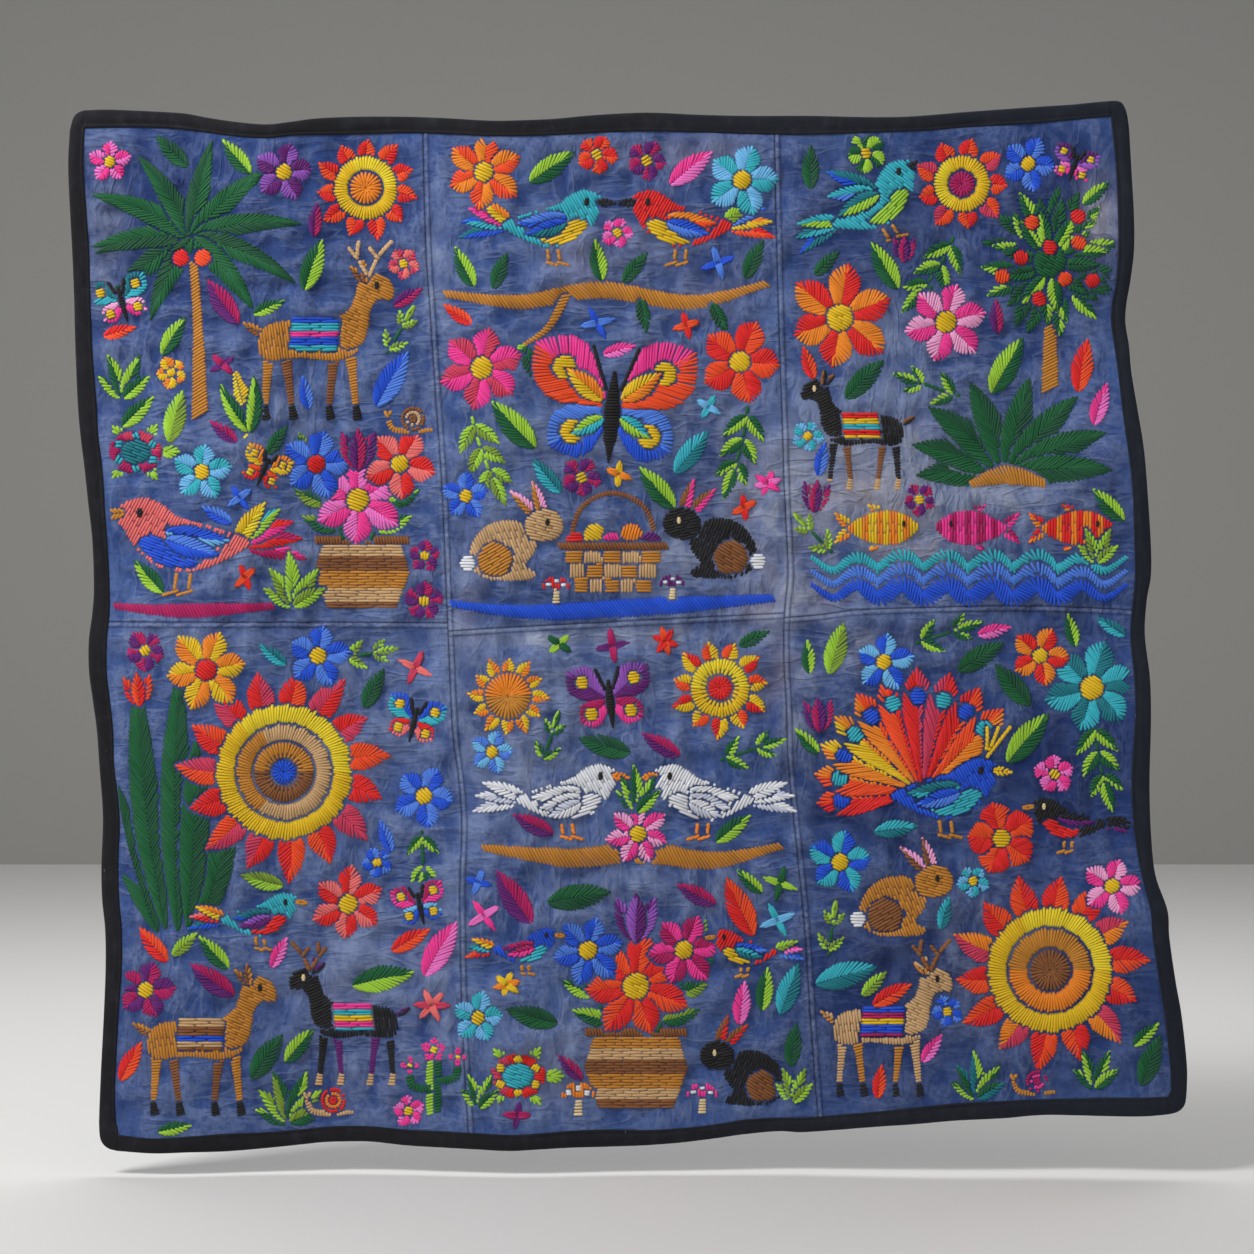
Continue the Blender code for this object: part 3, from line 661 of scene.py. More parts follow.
def pot(x, y, width, height, bands, rim):
    at = framed(x, y, width / 2, height)
    sides = ((-0.72, 0), (-1, 0.55), (-0.80, 1), (0.80, 1), (1, 0.55), (0.72, 0))
    fillShape([at(*spot) for spot in sides], 0, bands, longest=20)
    satinBar([framed(x, y - 2, width / 2, height)(side, 1) for side in (-0.95, 0.95)], (9, 9), rim,
        slant=0.2, lift=0.4)


def mushroom(x, y, size, cap, dots):
    at = framed(x, y, size, size)
    satinBar([(x, y), (x + 1, y - size * 0.7)], (size * 0.36, size * 0.28), "cream", slant=0.1)
    angles = [pi * step / 10 for step in range(11)]
    fillShape([at(0.62 * cos(angle), 0.62 + 0.56 * sin(angle)) for angle in angles], 88, cap)
    for share, up in ((-0.34, 0.80), (0.02, 0.96), (0.34, 0.78)):
        disc(*at(share, up), size * 0.085, dots, lift=0.9)


def snail(x, y, size, body, shell):
    at = framed(x, y, -size, size)
    foot = [at(-0.80, 0), (x, y + 1), (x - size * 0.62, y - 1), at(0.80, 0.40)]
    satinBar(foot, (4, size * 0.26, size * 0.26, size * 0.22), body, slant=0.1)
    for lean in (0.70, 0.94):
        stemLine([at(0.80, 0.44), at(lean, 0.72)], body)
    step = size * 0.46 / len(shell)
    for index, colour in enumerate(shell):
        outside = step * (len(shell) - index)
        ring(*at(-0.12, 0.42), outside - step, outside, (colour,), lift=0.4 + 0.1 * index)


def turtle(x, y, size, skin, shell, patches):
    for angle in (38, 142, -42, -138):
        petal(x, y, angle, size * 0.78, size * 0.24, skin, skin, peak=0.7)
    petal(x, y, 90, size * 0.98, size * 0.30, skin, skin, peak=0.84)
    ring(x, y, size * 0.30, size * 0.58, shell, lift=0.6, squash=0.82)
    for index in range(6):
        angle = radians(60 * index + 30)
        spot = (x + size * 0.42 * cos(angle), y + size * 0.34 * sin(angle))
        disc(*spot, size * 0.08, patches[0], 60 * index, lift=1.2)
    disc(x, y, size * 0.31, patches[1], 20, lift=0.9, squash=0.82)


def basket(x, y, width, height, shades, handle, fruit):
    half = width / 2
    at = framed(x, y, half, height)
    bow = [at(*spot) for spot in ((-0.86, 1), (-0.62, 1.9), (0, 2.25), (0.62, 1.9), (0.86, 1))]
    satinBar(bow, (6, 6, 6), handle, slant=0.5)
    for index, colour in enumerate(fruit):
        spot = at(-0.72 + 1.44 * index / (len(fruit) - 1), 1.12 + 0.20 * (index % 2))
        disc(*spot, width * 0.10, colour, index * 35, lift=0.1)
    for row in range(3):
        share = 0.74 + 0.09 * row
        for column in range(5):
            left, right = (x - half * share + (column + more) * width * share / 5 for more in (0, 1))
            low, high = (y - height * (row + more) / 3 for more in (0, 1))
            box = ((left, low), (right, low), (right, high), (left, high))
            fillShape(box, 90 if (row + column) % 2 else 0, shades[(row + column) % 2])
    satinBar([(x + side * half * 1.02, y - height - 2) for side in (-1, 1)], (8, 8), handle, slant=0.6,
        lift=0.5)


# A big round flower: two-tone flame petals, then rings of stitches, then a heart
def rosette(x, y, radius, petals, outer, inner, rings, turn=0.0):
    for index in range(petals):
        angle = turn + 360 * index / petals
        reach = radius * (0.46 if index % 2 else 0.38) * dice.uniform(0.95, 1.05)
        root, width = polar(x, y, angle, radius * 0.58), radius * 2.7 / petals * 1.5
        shades = (outer[index % len(outer)], inner[index % len(inner)])
        petal(*root, angle, reach, width, *shades, bend=0.14, peak=0.38)
    for inside, outside, colours in rings:
        ring(x, y, radius * inside, radius * outside, colours, lift=0.5)


def cactus(x, y, size, colour, shade, bloom):
    at = framed(x, y, size, size)
    satinBar([at(0, 0), at(0, 0.5), at(0, 1)], (size * 0.26, size * 0.30, size * 0.22), colour, slant=0.3,
        trim=shade)
    for side, low in ((-1, 0.38), (1, 0.52)):
        arm = [at(side * 0.08, low), at(side * 0.36, low + 0.06), at(side * 0.40, low + 0.36)]
        satinBar(arm, (size * 0.14, size * 0.16, size * 0.13), shade, slant=0.3)
        flower(*at(side * 0.40, low + 0.40), size * 0.11, 4, bloom, bloom, "yellow")
    flower(*at(0, 1.04), size * 0.16, 5, bloom, bloom, "yellow")


def maize(x, y, size, turn):
    tip = polar(x, y, turn, size)
    cob = [(x, y), along((x, y), tip, 0.5), tip]
    satinBar(cob, (size * 0.26, size * 0.36, size * 0.10), "yellow", slant=0.6, trim="golden")
    for side in (-1, 1):
        petal(x, y, turn + side * 30, size * 0.92, size * 0.26, "lime", "green", bend=-0.22 * side, lift=0.5)


def wave(x, y, width, height, colours, humps):
    steps = range(humps * 2 + 1)
    for index, colour in enumerate(colours):
        ups = [height * (0.35 if step % 2 else -0.35) + index * height * 0.72 for step in steps]
        points = [(x + width * step / (humps * 2), y + up) for step, up in zip(steps, ups)]
        satinBar(points, (5, height, height, height, 5), colour, slant=0.5)


gaps = {"cell": 3.0, "cells": 430, "seamMiddle": 2, "seamHalf": 4, "across": (92, 1170), "down": (124, 1130)}


def fillGaps(seed, tries, motifs, room):  # small motifs, in ovals of cloth that are still open
    pick = random.Random(seed)
    cell = gaps["cell"]
    taken = np.zeros((gaps["cells"], gaps["cells"]), bool)
    for rows in stitches.values():
        sewn = np.array([row[:4] for row in rows])
        for share in np.linspace(0, 1, 9):
            spots = ((sewn[:, :2] + (sewn[:, 2:] - sewn[:, :2]) * share) / cell).astype(int)
            taken[spots[:, 1], spots[:, 0]] = True
    cellY, cellX = np.indices(taken.shape) * cell + cell / 2
    taken |= ~insideBinding(cellX, cellY)
    for offset, here in seamOffsets(cellX, cellY):
        taken |= (np.abs(offset - gaps["seamMiddle"]) < gaps["seamHalf"]) & here
    for _ in range(tries):
        x, y, turn = pick.uniform(*gaps["across"]), pick.uniform(*gaps["down"]), pick.uniform(-80, 80)
        size, squash, sew = motifs[pick.randrange(len(motifs))]
        sine, cosine = sin(radians(turn)), cos(radians(turn))
        column, row, reach = int(x / cell), int(y / cell), int((size + room) / cell) + 1
        near = np.s_[row - reach:row + reach + 1, column - reach:column + reach + 1]
        ahead = (cellX[near] - x) * sine - (cellY[near] - y) * cosine
        aside = (cellX[near] - x) * cosine + (cellY[near] - y) * sine
        wide = size * squash
        if (taken[near] & ((ahead / (size + room)) ** 2 + (aside / (wide + room)) ** 2 < 1)).any():
            continue
        sew(x, y, size, turn)
        taken[near] |= (ahead / size) ** 2 + (aside / size / squash) ** 2 < 1


def trimHidden():  # a stitch ends where a later shape lies over it, so no yarn runs through another
    rows = [(row, colour) for colour, group in stitches.items() for row in group]
    rows.sort(key=lambda item: item[0][6])
    data = np.array([row for row, _ in rows])
    span = data[:, 2:4] - data[:, 0:2]
    aside = span[:, ::-1] * (-1, 1) / np.maximum(np.linalg.norm(span, axis=1), 0.1)[:, None]
    shares = np.linspace(0, 1, 19)
    strip = np.array((-1.2, -0.6, 0.0, 0.6, 1.2))[None, None, :, None]
    spots = data[:, None, 0:2] + span[:, None, :] * shares[None, :, None]
    wide = spots[:, :, None, :] + aside[:, None, None, :] * strip
    cells = wide.round().astype(int).reshape(len(data), -1, 2)
    order = data[:, 6].astype(int)
    hides = data[:, 4] < yarn["eyeLift"]
    top = np.zeros((photo["side"], photo["side"]), int)
    top[cells[hides, :, 1].ravel(), cells[hides, :, 0].ravel()] = np.repeat(order[hides], cells.shape[1])
    middle = spots.round().astype(int)
    hidden = top[middle[..., 1], middle[..., 0]] > order[:, None]
    stitches.clear()
    for (row, colour), covered in zip(rows, hidden):
        if covered.any():
            breaks = [-1] + list(np.flatnonzero(covered)) + [len(shares)]
            gap = max(range(len(breaks) - 1), key=lambda index: breaks[index + 1] - breaks[index])
            first, last = shares[min(breaks[gap] + 1, len(shares) - 1)], shares[max(breaks[gap + 1] - 1, 0)]
            x0, y0, x1, y1 = row[:4]
            if (last - first) * hypot(x1 - x0, y1 - y0) < yarn["shortest"]:
                continue
            ends = ((x0 + (x1 - x0) * share, y0 + (y1 - y0) * share) for share in (first, last))
            row = (*next(ends), *next(ends), *row[4:])
        stitches.setdefault(colour, []).append(row)


def columnX(column, side, y):  # a block's side line: the binding's inner line or a seam
    lines = ((leftEdge, 2), (columnSeams[0], 1), (columnSeams[1], 1), (rightEdge, 2))
    table, line = lines[column + (side == "right")]
    return curveValue(table, y, line)


def levelY(column, row, level, x):  # a block's upper or lower line
    table, line = ((topEdge, 2), (rowSeams[column], 1), (bottomEdge, 2))[row + (level == "lower")]
    return curveValue(table, x, line)


def insideBinding(x, y, margin=2.0):
    acrossOk = (x > curveValue(leftEdge, y, 2) + margin) & (x < curveValue(rightEdge, y, 2) - margin)
    return acrossOk & (y > curveValue(topEdge, x, 2) + margin) & (y < curveValue(bottomEdge, x, 2) - margin)


# The embroidery as generic garden motifs, block by block. Sizes and places are in the photograph's pixels
warm, suns, pinks, corals = ("red", "flame"), ("golden", "orange"), ("pink", "blush"), ("salmon", "rose")
blues, skies, teals, plums = ("blue", "azure"), ("aqua", "sky"), ("aqua", "teal"), ("purple", "magenta")
leafy, olives, greens = ("green", "lime"), ("lime", "olive"), ("green", "pine")

# Top left block
fronds = (
    (-112, -0.30, 0.96), (-82, -0.30, 1.00), (-52, -0.26, 0.98), (-24, -0.16, 0.90), (6, 0.10, 0.92),
    (36, 0.22, 0.96), (66, 0.30, 0.98), (96, 0.32, 1.00), (128, 0.20, 0.86), (-142, -0.20, 0.84),
)
palm(200, 414, 176, 108, "ochre", ("green", "pine", "green"), fronds, lean=-8)
for x, y, shade in ((181, 258, "red"), (203, 258, "flame")):
    disc(x, y, 8, shade, 30)
rosette(366, 188, 52, 11, warm, warm[::-1], (
    (0.34, 0.62, ("golden", "golden", "yellow")), (0.0, 0.32, ("orange",)),
))
deer(316, 351, 80, 1, "ochre", "brown", "black", (("blue", 7), ("aqua", 7), ("pink", 7)), "tan")
pot(362, 608, 96, 66, (("tan", 15), ("brown", 15), ("ochre", 15)), "brown")
sprig(344, 540, -30, 82, 32, ("green", "olive"), bend=0.10)
sprig(370, 540, 30, 82, 32, leafy[::-1], bend=-0.10)
flower(358, 500, 34, 6, *pinks, "golden")
flower(316, 464, 26, 5, *blues, "red", 12)
flower(400, 464, 26, 5, "red", "salmon", "golden", 30)
bird(190, 544, 78, -1, "salmon", "blue", (("blue", "sky"), blues[::-1]), (
    ("pink", "magenta"), ("magenta", "red"), ("red", "pink"), ("aqua", "lime"), ("golden", "yellow"),
))
satinBar([(112, 606), (180, 611), (272, 606)], (7, 17, 8), "magenta", slant=0.5)
turtle(136, 452, 46, "lime", ("magenta", "magenta", "rose"), teals)
maize(250, 432, 60, -14)

# Top middle block
satinBar([(446, 294), (520, 302), (600, 290), (690, 302), (766, 284)], (8, 16, 19, 16, 8), "ochre", slant=0.8)
satinBar([(566, 296), (548, 328), (522, 346)], (10, 8, 4), "ochre", slant=0.8)
for x, y, angle, size in (
    (474, 286, -30, 44), (494, 288, 16, 38), (602, 280, -14, 42), (624, 282, 34, 38), (746, 278, 20, 42),
    (524, 346, 160, 36), (526, 346, -130, 32), (712, 304, 150, 34), (640, 300, 165, 34),
):
    petal(x, y, angle, size, size * 0.42, "green", "pine" if angle > 0 else "lime", bend=0.08)
bird(548, 226, 60, 1, "aqua", "golden", (blues, ("teal", "blue")), (
    ("blue", "teal"), ("aqua", "blue"), ("pink", "magenta"), suns,
), "black")
bird(686, 226, 60, -1, "red", "golden", (("orange", "flame"), blues), (warm, suns[::-1], blues, olives),
    "black")
butterfly(612, 410, 86, 4, ("flame", "pink"), blues, "golden")
for side in (-1, 1):
    petal(612 + side * 10, 400, 4 + side * 52, 48, 21, *suns, lift=1.1)
    petal(612 + side * 9, 418, 4 + side * 122, 36, 16, "aqua", "lime", lift=1.1)
flower(482, 368, 33, 6, "pink", "rose", "golden", 8)
flower(740, 362, 31, 5, *warm, "golden", 20)
sprig(472, 416, 168, 68, 26, olives, "lime", bend=-0.12)
sprig(748, 406, 186, 68, 26, leafy, bend=0.12)
rabbit(510, 546, 62, 1, "tan", "ochre", "pale")
rabbit(716, 544, 62, -1, "black", "brown", "pink")
basket(613, 592, 104, 44, ("ochre", "tan"), "brown", ("red", "golden", "pink", "orange", "purple"))
satinBar([(452, 604), (530, 612), (640, 607), (772, 598)], (8, 18, 20, 9), "blue", slant=0.7)

# Top right block
leafyTree(1050, 388, 158, 80, "ochre", ("green", "pine", "green", "lime"), warm)
bird(874, 208, 58, 1, "aqua", "lime", (("blue", "teal"), ("azure", "aqua"), ("lime", "teal")), (
    ("teal", "blue"), teals, ("lime", "aqua"),
), "black", turn=-24, lifted=True)
rosette(962, 184, 48, 9, warm, ("flame", "rose"), (
    (0.28, 0.60, ("golden", "yellow", "golden")), (0.0, 0.28, ("magenta",)),
), 10)
sprig(954, 236, 200, 64, 26, leafy, bend=0.2)
for angle, bend, reach in (
    (-84, -0.12, 92), (-64, -0.16, 100), (-42, -0.14, 104), (-18, -0.08, 100), (8, 0.08, 100),
    (34, 0.14, 104), (58, 0.16, 106), (80, 0.14, 104),
):
    petal(1008, 474, angle, reach, 29, *greens, bend=bend, peak=0.5)
satinBar([(972, 484), (1008, 475), (1044, 483)], (10, 22, 10), "ochre", slant=0.4)
flower(946, 322, 32, 6, "pink", "pale", "golden", 14)
flower(840, 318, 40, 6, "orange", "red", "golden", 6)
deer(860, 438, 60, -1, "black", "brown", "tan", (("red", 6), ("golden", 5), ("aqua", 6)))
for x, flip, main, other in ((876, 1, *suns), (978, -1, "pink", "magenta"), (1070, 1, "red", "orange")):
    fish(x, 528, 46, flip, ((main, 8), (other, 6)), (other, main), (other, main))
wave(812, 564, 314, 19, ("aqua", "azure", "blue"), 7)

# Bottom left block
for x, y, angle, reach, bend in (
    (158, 932, -24, 150, 0.16), (166, 930, -12, 258, 0.10), (178, 932, -3, 268, 0.06),
    (200, 928, 20, 128, -0.12), (188, 928, 5, 196, -0.04),
):
    petal(x, y, angle, reach, 30, *greens, bend=bend, peak=0.5)
rosette(284, 772, 106, 15, ("red", "rose", "red", "flame"), ("flame", "red", "rose"), (
    (0.46, 0.64, ("golden",) * 5 + ("yellow",) * 3), (0.30, 0.45, ("tan", "ochre", "tan")),
    (0.12, 0.29, ("brown", "ochre")), (0.0, 0.12, ("blue",)),
), 6)
flower(206, 670, 31, 6, "orange", "golden", "red", 18)
deer(202, 1050, 76, 1, "ochre", "brown", "black", (("tan", 8), ("brown", 8), ("blue", 6)))
deer(352, 1030, 64, -1, "black", "purple", "tan", (("pink", 6), ("aqua", 6), ("golden", 5)), "brown")
cactus(434, 1112, 60, "lime", "green", "pink")
bird(256, 920, 46, 1, "aqua", "red", (("blue", "teal"), ("purple", "violet")), (
    ("blue", "teal"), ("red", "salmon"), suns,
))
flower(348, 904, 28, 6, "red", "salmon", "golden", 3)
sprig(422, 830, 178, 44, 20, leafy, pairs=2)
sprig(344, 658, 80, 36, 18, olives, pairs=2)

# Bottom middle block
satinBar([(484, 848), (570, 858), (640, 852), (712, 860), (780, 846)], (8, 20, 24, 20, 8), "ochre", slant=0.7)
whites = ("white", "silver")
for x, flip in ((562, 1), (708, -1)):
    bird(x, 800, 60, flip, "white", "white", (("white", "white"), whites[::-1], whites), (
        whites, whites[::-1], ("white", "white"),
    ), "orange", legs="orange")
flower(638, 834, 24, 7, "pink", "pale", "golden")
rosette(508, 696, 40, 12, suns[::-1], suns, ((0.0, 0.60, ("ochre", "orange")),))
rosette(720, 688, 50, 11, ("flame", "golden"), ("golden", "red"), (
    (0.26, 0.60, ("golden", "yellow")), (0.0, 0.26, ("red",)),
), 16)
butterfly(610, 700, 44, -6, ("purple", "violet"), ("pink", "magenta"), "golden")
pot(636, 1108, 104, 74, (("ochre", 14), ("tan", 12), ("brown", 14)), "brown")
sprig(616, 1032, -34, 88, 32, leafy, bend=0.14)
sprig(656, 1032, 34, 88, 32, ("green", "olive"), bend=-0.14)
flower(636, 986, 40, 7, *warm, "golden", 6)
flower(588, 950, 27, 6, *blues, "golden", 14)
flower(684, 950, 27, 6, "magenta", "pink", "golden", 20)
turtle(518, 1076, 48, "lime", ("red", "rose", "red"), ("golden", "aqua"))
rabbit(748, 1074, 56, -1, "black", "brown", "red")
bird(522, 950, 38, 1, "blue", "aqua", (plums, ("pink", "magenta")), (warm, teals, suns))
bird(748, 952, 38, -1, "red", "golden", (blues, teals), (blues, pinks, olives))

# Bottom right block
fan = ("red", "flame", "orange", "golden", "orange", "flame", "red", "rose")
for index in range(10):  # a fan-tailed bird
    angle = -96 + 15.6 * index
    shades = (fan[index % len(fan)], fan[(index + 1) % len(fan)])
    petal(922, 792, angle, 126 - 0.20 * abs(angle), 33, *shades, peak=0.7)
    spot = polar(922, 792, angle, 96 - 0.16 * abs(angle))
    disc(*spot, 7.5, ("blue", "aqua")[index % 2], angle, lift=1.0)
bird(940, 796, 64, 1, "blue", "aqua", (teals, blues[::-1]), (), "golden")
for lean in (-0.3, 0.1, 0.5):
    stemLine([(986, 758), (992 + 16 * lean, 740), (996 + 30 * lean, 726)], "golden", lift=1.2)
rosette(1050, 970, 98, 14, ("red", "flame", "rose"), ("flame", "red", "orange"), (
    (0.44, 0.64, ("golden", "golden", "yellow")), (0.22, 0.43, ("orange", "ochre")), (0.0, 0.22, ("brown",)),
), 4)
rabbit(900, 902, 62, 1, "ochre", "brown", "pale")
deer(884, 1036, 70, 1, "tan", "ochre", "black", (("blue", 7), ("magenta", 6), ("golden", 5)), "brown")
sprig(1094, 720, 176, 66, 26, leafy, bend=-0.1)
bird(1072, 824, 44, -1, "black", "red", (("black", "purple"),), (("black", "purple"), ("black", "black")))
flower(1092, 688, 36, 6, *teals, "golden", 12)

# Smaller motifs between them
for x, y, size, petals, shade, other, turn in (  # flowers
    (284, 172, 23, 5, "purple", "violet", 10), (110, 162, 16, 5, *pinks, 0), (202, 472, 22, 5, *skies, 5),
    (484, 172, 29, 6, "orange", "flame", 4), (742, 180, 27, 5, *skies[::-1], 14),
    (466, 496, 18, 5, *blues[::-1], 0), (1028, 164, 21, 5, *blues, 22), (318, 656, 24, 5, *blues, 8),
    (424, 796, 24, 5, *blues[::-1], 24), (146, 990, 23, 5, "purple", "magenta", 12),
    (492, 752, 17, 5, "sky", "azure", 15), (478, 1018, 20, 5, *skies, 9),
    (840, 862, 25, 5, "aqua", "blue", 8), (1112, 886, 22, 5, "pink", "pale", 14),
    (1040, 656, 22, 5, "orange", "red", 20), (884, 662, 22, 5, "blue", "sky", 5),
):
    flower(x, y, size, petals, shade, other, "golden", turn)
for x, y, size, turn, upper, lower in (  # butterflies
    (122, 302, 31, -16, teals, ("pink", "pale")), (264, 470, 26, 24, suns, warm),
    (1074, 166, 24, 18, ("violet", "purple"), pinks),
    (414, 722, 31, 14, ("aqua", "blue"), ("salmon", "red")),
    (420, 906, 28, -12, ("pink", "magenta"), ("blue", "sky")),
):
    butterfly(x, y, size, turn, upper, lower, "golden")
for x, y, size, count, spread, shades in (  # grass and small plants
    (294, 606, 46, 5, 110, ("lime", "olive", "lime")), (124, 398, 44, 4, 90, leafy[::-1]),
    (1098, 562, 34, 4, 90, olives), (290, 1122, 48, 6, 130, ("green", "lime", "olive")),
    (480, 1108, 34, 4, 80, leafy[::-1]), (794, 1102, 34, 4, 80, olives),
    (978, 1098, 40, 5, 110, ("lime", "green", "teal")), (1096, 1088, 38, 4, 90, leafy),
    (638, 812, 40, 5, 80, leafy),
):
    tuft(x, y, size, shades, count, spread)
for x, y, size, turn, shade, other in (  # tulips
    (358, 470, 35, 0, "magenta", "purple"), (140, 706, 28, -6, *warm), (636, 942, 41, 0, "purple", "violet"),
    (814, 512, 27, 6, *plums), (820, 732, 29, -4, *plums), (904, 262, 22, 0, *plums),
):
    tulip(x, y, size, turn, shade, other)
for x, y, size, cap in (
    (556, 602, 22, "red"), (672, 598, 20, "purple"), (578, 1114, 27, "orange"), (702, 1112, 25, "pink"),
):
    mushroom(x, y, size, cap, "white")
for x, y, size, body, shell in (
    (410, 430, 27, "ochre", ("brown", "tan", "brown")), (330, 1112, 28, "tan", ("red", "orange", "red")),
    (1034, 1092, 25, "ochre", ("magenta", "pink", "magenta")),
):
    snail(x, y, size, body, shell)

pairs = (pinks, warm, blues, suns, skies, plums, leafy[::-1], corals)
filler = random.Random(5)


def gapFlower(x, y, size, turn):
    flower(x, y, size / 1.24, 5, *pairs[filler.randrange(len(pairs))], "golden", turn, fat=1.25)


leafPairs = (leafy, olives, greens, leafy[::-1], teals, leafy, plums, blues, pinks, warm)


def gapLeaf(x, y, size, turn):
    shades = leafPairs[filler.randrange(len(leafPairs))]
    petal(*polar(x, y, turn, -size), turn, 2 * size, size * 0.84, *shades, bend=0.05, peak=0.46)


def gapSpark(x, y, size, turn):
    spark(x, y, size / 1.16, pairs[filler.randrange(len(pairs))], filler.choice((2, 2, 3)), turn)


def gapSprig(x, y, size, turn):
    sprig(*polar(x, y, turn, -size), turn, 1.4 * size, size * 0.62, leafPairs[filler.randrange(4)], pairs=2)


fillGaps(11, 2600, ((33, 1.0, gapFlower), (34, 0.5, gapSprig), (32, 0.42, gapLeaf)), 1.0)
fillGaps(12, 3600, ((26, 1.0, gapFlower), (27, 0.42, gapLeaf), (23, 1.0, gapSpark), (27, 0.5, gapSprig)), 1.0)
fillGaps(13, 5000, ((19, 1.0, gapFlower), (22, 0.42, gapLeaf), (18, 1.0, gapSpark)), 0.8)
fillGaps(14, 7000, ((14, 1.0, gapSpark), (17, 0.42, gapLeaf), (15, 1.0, gapFlower)), 0.5)
trimHidden()
for colour, rows in stitches.items():
    sewn = np.array([row[:4] for row in rows])
    kept = insideBinding(sewn[:, 0], sewn[:, 1]) & insideBinding(sewn[:, 2], sewn[:, 3])
    stitches[colour] = [row for row, keep in zip(rows, kept) if keep]
print("stage: embroidery drawn,", sum(len(rows) for rows in stitches.values()), "stitches")

# Topstitching, as short machine stitches: along each seam, and inside the binding's hem
topstitch = {
    "length": 2.9, "gap": 0.9, "width": 0.30, "step": 3.0, "seamLift": -0.35, "bindingLift": 1.05,
    "hemOffset": 2.6,
}


def dashLine(colour, across, down, lift):
    path, reach = measured(np.stack((across, down), axis=-1))
    step = topstitch["length"] + topstitch["gap"]
    for index in range(int(reach[-1] / step)):
        ends = (spotOn(path, reach, index * step + more) for more in (0, topstitch["length"]))
        layStitch(colour, *ends, lift, topstitch["width"])


for seam in columnSeams:
    levels = np.arange(134, 1122, topstitch["step"])
    dashLine("seamThread", curveValue(seam, levels) + seamRelief["band"], levels, topstitch["seamLift"])
for column, seam in enumerate(rowSeams):
    first, last = (float(columnX(column, side, 620)) for side in ("left", "right"))
    spots = np.arange(first + 4, last - 2, topstitch["step"])
    dashLine("seamThread", spots, curveValue(seam, spots) + seamRelief["band"], topstitch["seamLift"])
for side, first, last in (
    ("top", 90, 1108), ("bottom", 122, 1164), ("left", 132, 1134), ("right", 122, 1094),
):
    spots = np.arange(first, last, topstitch["step"])
    outer, inner = (curveValue(edges[side], spots, line) for line in (1, 2))
    line = inner + np.sign(outer - inner) * topstitch["hemOffset"]
    path = (spots, line) if side in ("top", "bottom") else (line, spots)
    dashLine("bindingThread", *path, topstitch["bindingLift"])


# The cloth's small relief: it sinks under the stitches and puckers beside them
def soften(values, acrossCells, downCells):
    for axis, cells in ((1, acrossCells), (0, downCells)):
        span = np.arange(-int(3 * cells) - 1, int(3 * cells) + 2)
        kernel = np.exp(-0.5 * (span / cells) ** 2)
        kernel /= kernel.sum()
        values = np.apply_along_axis(lambda line: np.convolve(line, kernel, mode="same"), axis, values)
    return values


puckers = {"sink": 0.50 * mm, "fine": 0.50 * mm, "medium": 1.05 * mm, "long": 0.75 * mm, "crease": 1.25 * mm,
    "heldWidth": 14.0, "seed": 23}
noise = np.random.default_rng(puckers["seed"])


def unevenMap(acrossCells, downCells):  # smooth unevenness with a spread of one
    values = soften(noise.standard_normal(relief.shape), acrossCells, downCells)
    return values / values.std()


covered = np.zeros(relief.shape)
for colour, rows in stitches.items():
    if "Thread" in colour:
        continue
    sewn = np.array([row[:4] for row in rows])
    for share in np.linspace(0.0, 1.0, 15):
        spots = sewn[:, :2] + (sewn[:, 2:] - sewn[:, :2]) * share
        for aside in (-0.9, 0.9):
            cells = np.clip(((spots + aside) / reliefCell).round().astype(int), 0, reliefCells - 1)
            covered[cells[:, 1], cells[:, 0]] = 1.0
sewnOver = soften(covered, 1.3, 1.3)
nearSewing = soften(covered, 5.0, 5.0)
bare = np.clip(1 - 1.25 * sewnOver, 0.0, 1.0)
edgePull = 4 * nearSewing * (1 - nearSewing)
relief -= puckers["sink"] * sewnOver
relief += puckers["fine"] * unevenMap(1.9, 2.3) * bare * (0.45 + 0.75 * edgePull)
relief += puckers["medium"] * unevenMap(3.4, 5.2) * (0.35 + 0.65 * bare)
relief += puckers["medium"] * 0.8 * unevenMap(7.5, 4.0) * (0.45 + 0.55 * bare)
relief += puckers["long"] * (unevenMap(2.8, 10.0) + unevenMap(11.0, 3.0)) * (0.25 + 0.75 * bare)
relief += puckers["crease"] * (0.8 - np.abs(unevenMap(4.4, 6.4))) * bare * (0.3 + 0.7 * edgePull)

